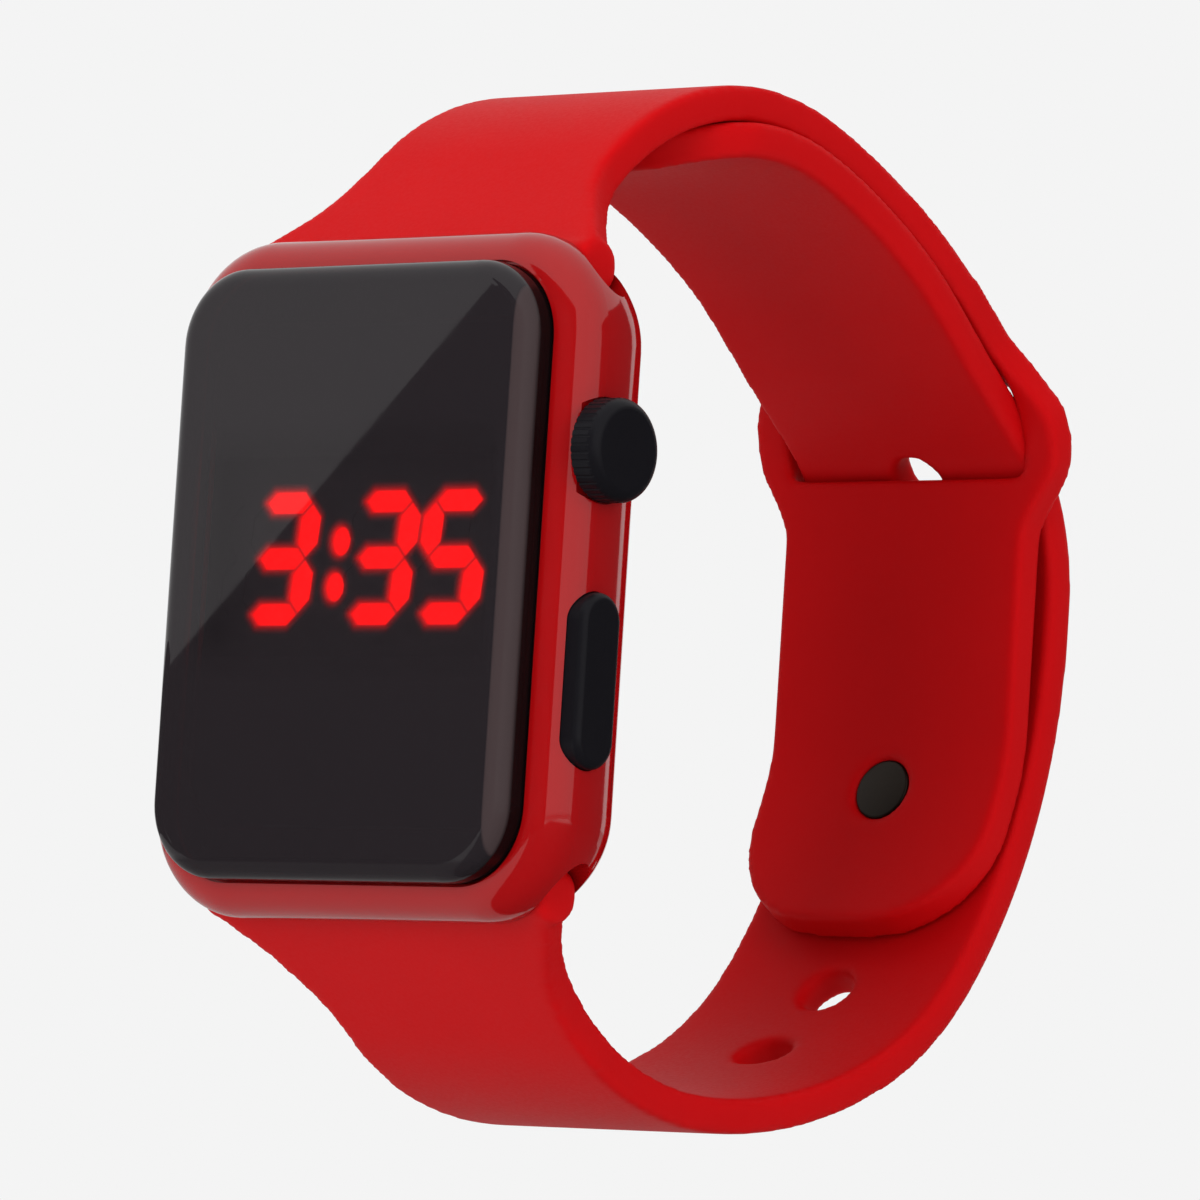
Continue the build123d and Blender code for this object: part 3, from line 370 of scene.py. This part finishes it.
# What the straps are made with
def ribbon(name, stations, half_width, leans, columns):
    """A strip pulled out of a grid's edge, step by step, along stations (y, z, heading, travelled)."""
    bpy.ops.object.select_all(action="DESELECT")
    bpy.ops.mesh.primitive_grid_add(x_subdivisions=columns, y_subdivisions=1, size=1)
    strip = bpy.context.object
    strip.name = name
    y, z = stations[0][0] * MM, stations[0][1] * MM
    width = half_width(*stations[0])
    shift = lean(leans, 0)
    bpy.ops.object.mode_set(mode="EDIT")
    bpy.ops.mesh.select_mode(type="VERT")
    bpy.ops.transform.resize(value=(2 * width * MM, FIRST_ROW * MM, 1))
    bpy.ops.transform.translate(value=(shift * MM, y, z))
    bpy.ops.mesh.select_all(action="DESELECT")
    mesh = bmesh.from_edit_mesh(strip.data)
    for vert in mesh.verts:
        vert.select = vert.co.y > y
    mesh.select_flush(True)
    for vert in [v for v in mesh.verts if v.co.y < y]:
        vert.co.y = y
    bmesh.update_edit_mesh(strip.data)
    reached = Vector((shift * MM, y + FIRST_ROW / 2 * MM, z))
    for number, station in enumerate(stations[1:]):
        goal = Vector((lean(leans, station[3]) * MM, station[0] * MM, station[1] * MM))
        move = {"value": tuple(goal - reached)}
        if number == 0:
            bpy.ops.transform.translate(**move)
        else:
            bpy.ops.mesh.extrude_region_move(TRANSFORM_OT_translate=move)
        reached = goal
        wide = half_width(*station)
        if abs(wide - width) > 1e-6:
            bpy.ops.transform.resize(value=(wide / width, 1, 1), center_override=tuple(goal))
        width = wide
    bpy.ops.object.mode_set(mode="OBJECT")
    return strip


def strap_shell(name, stations, half_width, leans, thickness):
    """A strap's body: the ribbon given its thickness and round edges."""
    strip = ribbon(name, stations, half_width, leans, STRAP_COLUMNS)
    apply_modifier(strip, "SOLIDIFY", thickness=thickness * MM, offset=0)
    apply_modifier(
        strip, "BEVEL", width=EDGE_R * MM, segments=4, limit_method="ANGLE", angle_limit=radians(50)
    )
    return strip


def add_bar(strip, side):
    """The round bar that locks the strap in the case's groove, made one with it."""
    bpy.ops.mesh.primitive_cylinder_add(
        vertices=64,
        radius=LUG_BAR_R * MM,
        depth=2 * LUG_HALF * MM,
        location=(0, -LUG_H * MM, side * LUG_Z * MM),
        rotation=(0, radians(90), 0),
    )
    bar = bpy.context.object
    place_in_mesh(bar)
    apply_modifier(bar, "BEVEL", width=LUG_BAR_EDGE_R * MM, segments=2, limit_method="ANGLE")
    apply_modifier(strip, "BOOLEAN", operation="UNION", object=bar, solver="EXACT")
    bpy.data.objects.remove(bar)


def round_tool(name, radius, depth, at, heading):
    """A cylinder square to a strap whose heading is given."""
    bpy.ops.mesh.primitive_cylinder_add(
        vertices=64,
        radius=radius * MM,
        depth=depth * MM,
        location=tuple(c * MM for c in at),
        rotation=(radians(heading), 0, 0),
    )
    tool = bpy.context.object
    tool.name = name
    place_in_mesh(tool)
    return tool


def cut(strip, tools):
    """Cut the tools out of the strap and delete them."""
    for tool in tools:
        apply_modifier(strip, "BOOLEAN", operation="DIFFERENCE", object=tool, solver="EXACT")
        bpy.data.objects.remove(tool)


def rubber_surface(strip):
    """One even skin over the joined parts, laid back on them and relaxed, so every edge is softly rounded."""
    shape = strip.copy()
    shape.data = strip.data.copy()
    bpy.context.scene.collection.objects.link(shape)
    apply_modifier(strip, "REMESH", mode="VOXEL", voxel_size=SKIN_GRID * MM, use_smooth_shade=True)
    apply_modifier(strip, "SMOOTH", factor=0.5, iterations=12)
    apply_modifier(strip, "SHRINKWRAP", target=shape, wrap_method="NEAREST_SURFACEPOINT")
    apply_modifier(strip, "SMOOTH", factor=0.5, iterations=10)
    bpy.data.objects.remove(shape)


def make_hole_strap():
    """The 6 o'clock strap: one soft piece with its lug bar and seven holes."""
    face = follow(HOLE_START, HOLE_HEADING, FRONT_RUNS + BACK_RUN + TAIL_RUNS)
    line = pressed_outwards(finer_end(along(to_middle(face, -HOLE_T / 2))))
    length = line[-1][3]

    def half_width(y, z, heading, travelled):
        if z < 0 and y < SHOULDER_END_Y:
            shoulder = rounded_width(-z, SHOULDERS) - PIN_HALF
            taper = (HOLE_END_HALF - HOLE_HALF) * min(1, travelled / HOLE_TAPER_L)
            return HOLE_HALF + taper + shoulder
        return rounded_tip(HOLE_END_HALF, length - travelled)

    strap = strap_shell("hole_strap_silicone", line, half_width, HOLE_LEAN, HOLE_T)
    add_bar(strap, -1)
    to_stud = FRONT_RUNS + [(HOLE_BACK_R, STUD_HEADING - HOLE_BACK_HEADING)]
    stud_travelled = along(to_middle(follow(HOLE_START, HOLE_HEADING, to_stud), -HOLE_T / 2))[-1][3]
    punches = []
    for step in range(-HOLES_EACH_WAY, HOLES_EACH_WAY + 1):
        y, z, heading, travelled = at_distance(line, stud_travelled + step * HOLE_PITCH)
        at = (lean(HOLE_LEAN, travelled), y, z)
        punches.append(round_tool(f"punch_{step}", HOLE_R, PUNCH_L, at, heading))
    cut(strap, punches)
    rubber_surface(strap)
    return strap


def slot_tools():
    """The room that the tucked tail takes in the pin strap, and the slot's straight opening."""
    tail = follow(TUCK_START, 90, TUCK_RUNS + [(NEST_R, SLOT_NEST_TURN)])
    middle = along(to_middle(tail, -HOLE_T / 2))
    clearance = ribbon("tail_clearance", middle, lambda *station: SLOT_HALF, [], TOOL_COLUMNS)
    apply_modifier(clearance, "SOLIDIFY", thickness=(HOLE_T + SLOT_PLAY) * MM, offset=0)
    bpy.ops.object.select_all(action="DESELECT")
    bpy.ops.mesh.primitive_cube_add(
        size=1,
        location=(0, sum(SLOT_Y) / 2 * MM, sum(SLOT_Z) / 2 * MM),
        scale=(2 * SLOT_HALF * MM, (SLOT_Y[1] - SLOT_Y[0]) * MM, (SLOT_Z[1] - SLOT_Z[0]) * MM),
    )
    opening = bpy.context.object
    place_in_mesh(opening)
    apply_modifier(opening, "BEVEL", width=SLOT_CORNER_R * MM, segments=4)
    return [clearance, opening]


def stud_tools():
    """The stud disc's pocket in the pin strap's inner face and the hole for its shank."""
    y, z = STUD_AT
    drop = radians(STUD_DROP)
    disc_at = (0, y - DISC_INWARDS * cos(drop), z + DISC_INWARDS * sin(drop))
    return [
        round_tool("disc_pocket", DISC_POCKET_R, DISC_POCKET_T, disc_at, STUD_HEADING),
        round_tool("shank_hole", SHANK_HOLE_R, SHANK_HOLE_L, (0, y, z), STUD_HEADING),
    ]


def make_pin_strap():
    """The 12 o'clock strap: shoulders, crest, ears beside the slot and the stud end."""
    face = follow(PIN_START, PIN_HEADING, PIN_RUNS)
    line = finer_end(along(to_middle(face, PIN_T / 2)))
    length = line[-1][3]

    def half_width(y, z, heading, travelled):
        if y < SHOULDER_END_Y:
            return rounded_width(z, SHOULDERS)
        if z > EARS[0][0]:
            return rounded_width(z, EARS)
        return rounded_tip(PIN_HALF, length - travelled)

    strap = strap_shell("pin_strap_silicone", line, half_width, PIN_LEAN, PIN_T)
    add_bar(strap, 1)
    cut(strap, slot_tools() + stud_tools())
    rubber_surface(strap)
    return strap


def finished_copy(name, node, body, rounding, segments=2):
    """A turned piece: the CAD shape merged, its sharp edges broken, smooth across curves."""
    only(nodes[node])
    bpy.ops.object.duplicate()
    piece = bpy.context.object
    piece.name = name
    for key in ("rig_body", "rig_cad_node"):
        del piece[key]
    piece.parent = None
    piece.data.materials.clear()
    bpy.ops.object.mode_set(mode="EDIT")
    bpy.ops.mesh.select_all(action="SELECT")
    bpy.ops.mesh.remove_doubles(threshold=0.002 * MM)
    bpy.ops.mesh.dissolve_limited(angle_limit=radians(0.5))
    bpy.ops.object.mode_set(mode="OBJECT")
    apply_modifier(
        piece,
        "BEVEL",
        width=rounding * MM,
        segments=segments,
        limit_method="ANGLE",
        angle_limit=radians(40),
    )
    only(piece)
    bpy.ops.object.shade_smooth_by_angle(angle=radians(32))
    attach(piece, body)
    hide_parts(node)
    return piece


# Materials
def linear(code):
    """A colour from its sRGB hex code, as linear RGBA."""
    channels = [int(code[k:k + 2], 16) / 255 for k in (0, 2, 4)]
    return (*[c / 12.92 if c <= 0.04045 else ((c + 0.055) / 1.055) ** 2.4 for c in channels], 1.0)


def add(tree, kind, inputs=None, **settings):
    """Add a node with its settings, values and links."""
    made = tree.nodes.new("ShaderNode" + kind)
    for name, value in settings.items():
        setattr(made, name, value)
    for name, value in (inputs or {}).items():
        if isinstance(value, bpy.types.NodeSocket):
            tree.links.new(value, made.inputs[name])
        else:
            made.inputs[name].default_value = value
    return made


def material(name, base, uneven, grain, rough, bump, **surface):
    """A moulded, plated or brushed surface: two shades that drift, a fine grain and its roughness.

    grain is the grain's size and bump its depth, in millimetres, and rough the lowest and highest roughness.
    """
    made = bpy.data.materials.new(name)
    made.use_nodes = True
    tree = made.node_tree
    tree.nodes.clear()
    place = add(tree, "TexCoord").outputs["Object"]
    drift = add(tree, "TexNoise", {"Vector": place, "Scale": 1 / (DRIFT_L * MM), "Detail": 3.0})
    fine = add(tree, "TexNoise", {"Vector": place, "Scale": 1 / (grain * MM), "Detail": 4.0})
    shades = {"Factor": drift.outputs["Fac"], "A": linear(base), "B": linear(uneven)}
    colour = add(tree, "Mix", shades, data_type="RGBA")
    spread = {"From Min": 0.3, "From Max": 0.7, "To Min": rough[0], "To Max": rough[1]}
    roughness = add(tree, "MapRange", {"Value": fine.outputs["Fac"], **spread})
    dents = add(tree, "Bump", {"Height": fine.outputs["Fac"], "Strength": 0.6, "Distance": bump * MM})
    look = {
        "Base Color": colour.outputs["Result"],
        "Roughness": roughness.outputs["Result"],
        "Normal": dents.outputs["Normal"],
    }
    for socket, value in surface.items():
        look[socket.replace("_", " ")] = value
    shader = add(tree, "BsdfPrincipled", look)
    add(tree, "OutputMaterial", {"Surface": shader.outputs["BSDF"]})
    return made


def wear(obj, made):
    """Give a piece its one material."""
    obj.data.materials.clear()
    obj.data.materials.append(made)


def smoked_lens():
    """Acrylic with a smoke tint, so dark that only the lit bars show through.

    The tint is in its front skin and thinner over the display. The right and the lower rim mirror less, and
    the right one has a lighter tone, a painted reflection, and its side wall a darker tone, a painted shade.
    """
    made = material(
        "smoked_acrylic", "262124", "242023", grain=6.0, rough=(0.01, 0.02), bump=0.0005, IOR=1.49
    )
    tree = made.node_tree
    shader = tree.nodes["Principled BSDF"]
    axes = add(tree, "SeparateXYZ", {"Vector": add(tree, "TexCoord").outputs["Object"]}).outputs

    def scaled(value, low, high):
        return add(tree, "MapRange", {"Value": value, "To Min": low, "To Max": high}).outputs["Result"]

    def rising(axis, limits):
        """From 0 to 1 while an axis goes from the lower to the higher limit, in millimetres."""
        span = {"From Min": limits[0] * MM, "From Max": limits[1] * MM}
        return add(tree, "MapRange", {"Value": axes[axis], **span}).outputs["Result"]

    def falling(axis, limits):
        return scaled(rising(axis, limits), 1.0, 0.0)

    def join(operation, *values):
        """One value made of several, two at a time."""
        joined = values[0]
        for value in values[1:]:
            joined = add(tree, "Math", {0: joined, 1: value}, operation=operation).outputs[0]
        return joined

    def toned(factor, below, above):
        mix = add(tree, "Mix", {"Factor": factor, "A": below, "B": above}, data_type="RGBA")
        return mix.outputs["Result"]

    window = join(
        "MULTIPLY",
        rising("X", WINDOW_LEFT),
        falling("X", WINDOW_RIGHT),
        rising("Z", WINDOW_LOW),
        falling("Z", WINDOW_HIGH),
    )
    rim = join("MAXIMUM", rising("X", RIGHT_RIM), falling("Z", LOWER_RIM))
    mirror = join("ADD", scaled(rim, *LENS_MIRROR), join("MULTIPLY", window, WINDOW_MIRROR))
    tint = join("MULTIPLY", scaled(window, *LENS_TINT), falling("Y", LENS_SKIN))
    smoke = shader.inputs["Base Color"].links[0].from_socket
    # Painted reflection: a lighter band in the colour along the right rim's rounded edge
    with_painted_reflection = toned(rising("X", RIGHT_REFLECTION_BAND), smoke, linear(PAINTED_REFLECTION_TONE))
    # Painted shade: the side wall is darker in its colour
    tone = toned(rising("Y", LENS_WALL), with_painted_reflection, linear(PAINTED_WALL_SHADE))
    tree.links.new(tone, shader.inputs["Base Color"])
    tree.links.new(tint, shader.inputs["Alpha"])
    tree.links.new(mirror, shader.inputs["Specular IOR Level"])
    return made


def film_with_painted_glow():
    """Diffusing film with a painted glow: it emits red where its glow attribute is high, and is clear
    elsewhere.
    """
    made = bpy.data.materials.new("diffusing_film_painted_glow")
    made.use_nodes = True
    tree = made.node_tree
    tree.nodes.clear()
    glow = add(tree, "Attribute", attribute_name="glow").outputs["Fac"]
    cover = {"Value": glow, "From Min": 0.02, "From Max": 1.0, "To Min": 0.0, "To Max": GLOW_COVER}
    shader = add(
        tree,
        "BsdfPrincipled",
        {
            "Base Color": linear("060304"),
            "Emission Color": linear(LIT_RED),
            "Emission Strength": 2.3,
            "Roughness": 0.6,
            "Alpha": add(tree, "MapRange", cover).outputs["Result"],
        },
    )
    add(tree, "OutputMaterial", {"Surface": shader.outputs["BSDF"]})
    return made


# Silicone, compression moulded: satin, a little light passes through its thin edges
silicone = material(
    "moulded_silicone_red",
    "ca0a10",
    "c2080d",
    grain=0.25,
    rough=(0.50, 0.60),
    bump=0.012,
    Subsurface_Weight=0.2,
    Subsurface_Radius=(1.0, 0.2, 0.1),
    Subsurface_Scale=1.6 * MM,
    Specular_IOR_Level=0.08,
)
# ABS, injection moulded against polished steel: deep red with a wet gloss
glossy_abs = material(
    "polished_abs_red", "a40a0e", "9c090c", grain=0.8, rough=(0.06, 0.09), bump=0.001, IOR=1.49
)
# ABS, moulded with a satin grain: near black with a soft sheen
satin_abs = material(
    "satin_abs_black",
    "151418",
    "121115",
    grain=0.18,
    rough=(0.30, 0.42),
    bump=0.006,
    Specular_IOR_Level=0.12,
)
# Steel, turned and chemically blackened: dark with a dull glint
black_steel = material(
    "blackened_steel", "2b2622", "221e1b", grain=0.12, rough=(0.28, 0.42), bump=0.006, Metallic=1.0
)
# Stainless steel, drawn and brushed: pale grey with a soft shine
steel = material(
    "brushed_stainless_steel", "c3c3c6", "b5b5b9", grain=0.15, rough=(0.22, 0.38), bump=0.005, Metallic=1.0
)
# Phosphor bronze, rolled to strip: warm yellow with a soft shine
bronze = material(
    "phosphor_bronze", "c9a66b", "bf9b5e", grain=0.2, rough=(0.25, 0.35), bump=0.004, Metallic=1.0
)
# White ABS, moulded without paint: matt and slightly warm
white_abs = material("white_abs", "dcdcd6", "d2d2cc", grain=0.3, rough=(0.45, 0.6), bump=0.008)
# Glass fibre board under solder mask: dark green with a slight gloss
board_green = material("solder_mask_green", "0e4a2a", "0b3f24", grain=0.5, rough=(0.25, 0.4), bump=0.01)
# Black epoxy, dropped on the chip and cured: black with a wet gloss
epoxy = material("cured_black_epoxy", "0e0e0f", "131314", grain=0.6, rough=(0.15, 0.3), bump=0.01)
# Nitrile rubber, moulded: matt black
nitrile = material("nitrile_rubber_black", "141414", "1a1a1a", grain=0.2, rough=(0.6, 0.75), bump=0.01)
# Polyester film, printed black: matt, and as light as the tinted lens in front of it
black_film = material(
    "black_polyester_film",
    "3d363a",
    "3b3438",
    grain=0.3,
    rough=(0.55, 0.7),
    bump=0.002,
    Specular_IOR_Level=0.1,
)
# Polycarbonate light guides: the dark ones vanish against the film, the lit ones are evenly bright
guide_dark = material(
    "red_light_guide_dark",
    "3d363a",
    "3b3438",
    grain=0.5,
    rough=(0.4, 0.5),
    bump=0.002,
    Specular_IOR_Level=0.1,
)
guide_lit = material(
    "red_light_guide_lit",
    LIT_RED,
    LIT_RED,
    grain=0.5,
    rough=(0.4, 0.5),
    bump=0.002,
    Emission_Color=linear(LIT_RED),
    Emission_Strength=1.85,
)

# Straps: soft pieces in place of the plain strap solids
hole_strap = make_hole_strap()
pin_strap = make_pin_strap()
wear(hole_strap, silicone)
wear(pin_strap, silicone)
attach(pin_strap, "watch")
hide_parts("pin_strap")
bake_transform(hole_strap)
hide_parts("hole_strap", "hole_strap_end", "hole_strap_tail")

# Stud: its two turned pieces
disc = finished_copy("stud_disc", "stud_base", "watch", 0.18, 3)
head = finished_copy("stud_button", "stud_head", "watch", 0.05)
for piece in (disc, head):
    wear(piece, black_steel)

# The other nodes keep their CAD shapes
steel_parts = ("case_back", "case_screws", "crystal_can", "coin_cell", "crown_clip", "pill_clips")
for made, names in (
    (glossy_abs, ("case_body",)),
    (smoked_lens(), ("display_lens",)),
    (satin_abs, ("crown", "pill_button")),
    (black_film, ("dial_mask", "lens_tape")),
    (white_abs, ("led_reflector", "module_frame")),
    (guide_lit, ("lit_segments", "led_chips")),
    (guide_dark, ("unlit_segments",)),
    (board_green, ("circuit_board",)),
    (epoxy, ("controller_blob",)),
    (steel, steel_parts + ("upper_lug_rod", "lower_lug_rod")),
    (bronze, ("battery_clip", "battery_spring", "crown_contact", "pill_contact")),
    (nitrile, ("back_gasket", "crown_seal", "pill_seals")),
):
    for name in names:
        wear(nodes[name], made)


def make_glow_film():
    """A film under the lens whose glow attribute, a painted glow, fades with the distance from the lit bars.
    """
    lit = nodes["lit_segments"]
    bars = BVHTree.FromObject(lit, bpy.context.evaluated_depsgraph_get())
    just_ahead = -max(-vert.co.y for vert in lit.data.vertices) - 0.0001 * MM
    bpy.ops.object.select_all(action="DESELECT")
    bpy.ops.mesh.primitive_grid_add(
        x_subdivisions=FILM_GRID[0],
        y_subdivisions=FILM_GRID[1],
        size=1,
        location=(0, FILM_Y * MM, FILM_Z * MM),
        rotation=(radians(90), 0, 0),
    )
    film = bpy.context.object
    film.name = "glow_film"
    film.scale = (FILM_SIZE[0] * MM, FILM_SIZE[1] * MM, 1)
    place_in_mesh(film)
    glow = film.data.attributes.new("glow", "FLOAT", "POINT")
    for vert, value in zip(film.data.vertices, glow.data):
        nearest = bars.find_nearest(Vector((vert.co.x, just_ahead, vert.co.z)))[0]
        away = hypot(nearest.x - vert.co.x, nearest.z - vert.co.z) / MM
        value.value = exp(-away / GLOW_REACH) if away < GLOW_END else 0.0
    apply_modifier(film, "SOLIDIFY", thickness=FILM_T * MM, offset=0)
    return film


# Painted glow: the film's own emission, in place of light scattered from the bars
glow_film = make_glow_film()
wear(glow_film, film_with_painted_glow())
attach(glow_film, "watch")

# Camera
azimuth, elevation, roll = radians(VIEW_AZIMUTH), radians(VIEW_ELEVATION), radians(VIEW_ROLL)
looks = Vector((-sin(azimuth) * cos(elevation), cos(azimuth) * cos(elevation), -sin(elevation)))
level = Vector((cos(azimuth), sin(azimuth), 0))
upright = level.cross(looks)
right = cos(roll) * level + sin(roll) * upright
up = -sin(roll) * level + cos(roll) * upright
stand = Vector(VIEW_AIM) * MM - looks * VIEW_DISTANCE * MM
view = bpy.data.cameras.new("camera")
view.lens = FOCAL_PIXELS / PHOTO_PIXELS * SENSOR_W
view.sensor_width = SENSOR_W
view.clip_start = 0.01
view.clip_end = 20
camera = bpy.data.objects.new("camera", view)
bpy.context.scene.collection.objects.link(camera)
camera.matrix_world = Matrix(
    (
        (right.x, up.x, -looks.x, stand.x),
        (right.y, up.y, -looks.y, stand.y),
        (right.z, up.z, -looks.z, stand.z),
        (0, 0, 0, 1),
    )
)
bpy.context.scene.camera = camera


# Studio: white surround, soft boxes, dark flags and a pale floor
def white_surround():
    """A world that the camera and all reflections see as nearly white, and that lights the watch faintly."""
    world = bpy.data.worlds.new("white_surround")
    world.use_nodes = True
    tree = world.node_tree
    tree.nodes.clear()
    rays = add(tree, "LightPath").outputs
    seen = rays["Is Camera Ray"]
    for kind in ("Is Glossy Ray", "Is Transmission Ray"):
        seen = add(tree, "Math", {0: seen, 1: rays[kind]}, operation="MAXIMUM").outputs[0]
    surround = add(tree, "Background", {"Color": linear("f4f4f4"), "Strength": 1.0})
    fill = add(tree, "Background", {"Color": linear("ffffff"), "Strength": 0.34})
    chosen = {"Fac": seen, 1: fill.outputs[0], 2: surround.outputs[0]}
    add(tree, "OutputWorld", {"Surface": add(tree, "MixShader", chosen).outputs[0]})
    return world


def softbox(name, at, size, power):
    """A rectangular lamp, its size in metres and its power in watts, turned to the middle of the watch."""
    lamp = bpy.data.lights.new(name, "AREA")
    lamp.shape = "RECTANGLE"
    lamp.size, lamp.size_y = size
    lamp.energy = power
    box = bpy.data.objects.new(name, lamp)
    bpy.context.scene.collection.objects.link(box)
    box.location = at
    box.rotation_euler = (Vector(LIT_POINT) - box.location).to_track_quat("-Z", "Y").to_euler()
    box.visible_camera = False
    box.visible_glossy = False


def flag(name, centre, across, upward, corners):
    """A dark card that only reflections see, its corners in metres across and up from its centre.

    The corners go round it from the upper left one.
    """
    bpy.ops.object.select_all(action="DESELECT")
    bpy.ops.mesh.primitive_plane_add(size=1)
    card = bpy.context.object
    card.name = name
    middle, side, rise = Vector(centre), Vector(across), Vector(upward)
    upper_left, upper_right, lower_right, lower_left = corners
    rows = (upper_left, upper_right, lower_left, lower_right)
    for vert, (s, t) in zip(card.data.vertices, rows):
        vert.co = middle + side * s + rise * t
    wear(card, flag_cloth)
    card.visible_camera = False
    card.visible_diffuse = False
    card.visible_shadow = False


def oblong(left, right, bottom, top):
    """The corners of an oblong card."""
    return ((left, top), (right, top), (right, bottom), (left, bottom))


bpy.context.scene.world = white_surround()
softbox("softbox_front", at=(0.02, -0.62, 0.02), size=(0.5, 0.5), power=3.6)
softbox("softbox_right", at=(0.58, -0.02, 0.10), size=(0.4, 0.5), power=1.6)
softbox("softbox_top", at=(0.0, -0.05, 0.60), size=(0.4, 0.4), power=1.2)

# Black cotton, woven: it mirrors as a dark grey
flag_cloth = material("black_flag_cloth", "4a484a", "464446", grain=2.0, rough=(0.8, 0.9), bump=0.01)
# The lens mirrors the camera's line of sight to this one, and its slanting edge is the lens's diagonal
flag(
    "flag_front_left",
    centre=(-0.1683, -0.2078, 0.0221),
    across=(-0.7602, 0.6497, 0.0),
    upward=(0.0553, 0.0647, 0.9964),
    corners=((-0.0422, 0.0772), (0.0579, -0.0579), (-0.0900, -0.1700), (-0.2000, -0.0200)),
)
# The others give the glossy case its dark bands
flag(
    "flag_right_back",
    centre=(0.112, 0.278, 0.0),
    across=(0.927, -0.375, 0.0),
    upward=(0.0, 0.0, 1.0),
    corners=oblong(left=-0.09, right=0.35, bottom=-0.06, top=0.16),
)
flag(
    "flag_front",
    centre=(-0.015, -0.30, 0.0),
    across=(1.0, 0.0, 0.0),
    upward=(0.0, 0.0, 1.0),
    corners=oblong(left=-0.165, right=0.21, bottom=-0.20, top=0.20),
)
flag(
    "flag_floor",
    centre=(0.17, 0.03, -0.0615),
    across=(1.0, 0.0, 0.0),
    upward=(0.0, 1.0, 0.0),
    corners=oblong(left=-0.175, right=0.19, bottom=-0.33, top=0.30),
)
flag(
    "flag_left",
    centre=(-0.26, -0.06, -0.03),
    across=(-0.3, 0.954, 0.0),
    upward=(0.0, 0.0, 1.0),
    corners=oblong(left=-0.13, right=0.16, bottom=-0.02, top=0.045),
)

bpy.ops.object.select_all(action="DESELECT")
bpy.ops.mesh.primitive_circle_add(vertices=96, radius=FLOOR_R, fill_type="NGON", location=FLOOR_AT)
floor = bpy.context.object
floor.name = "floor"
# Painted board: matt white
wear(floor, material("matt_white_paint", "ededed", "e8e8e8", grain=4.0, rough=(0.7, 0.8), bump=0.01))

bpy.context.scene.view_settings.view_transform = "Standard"
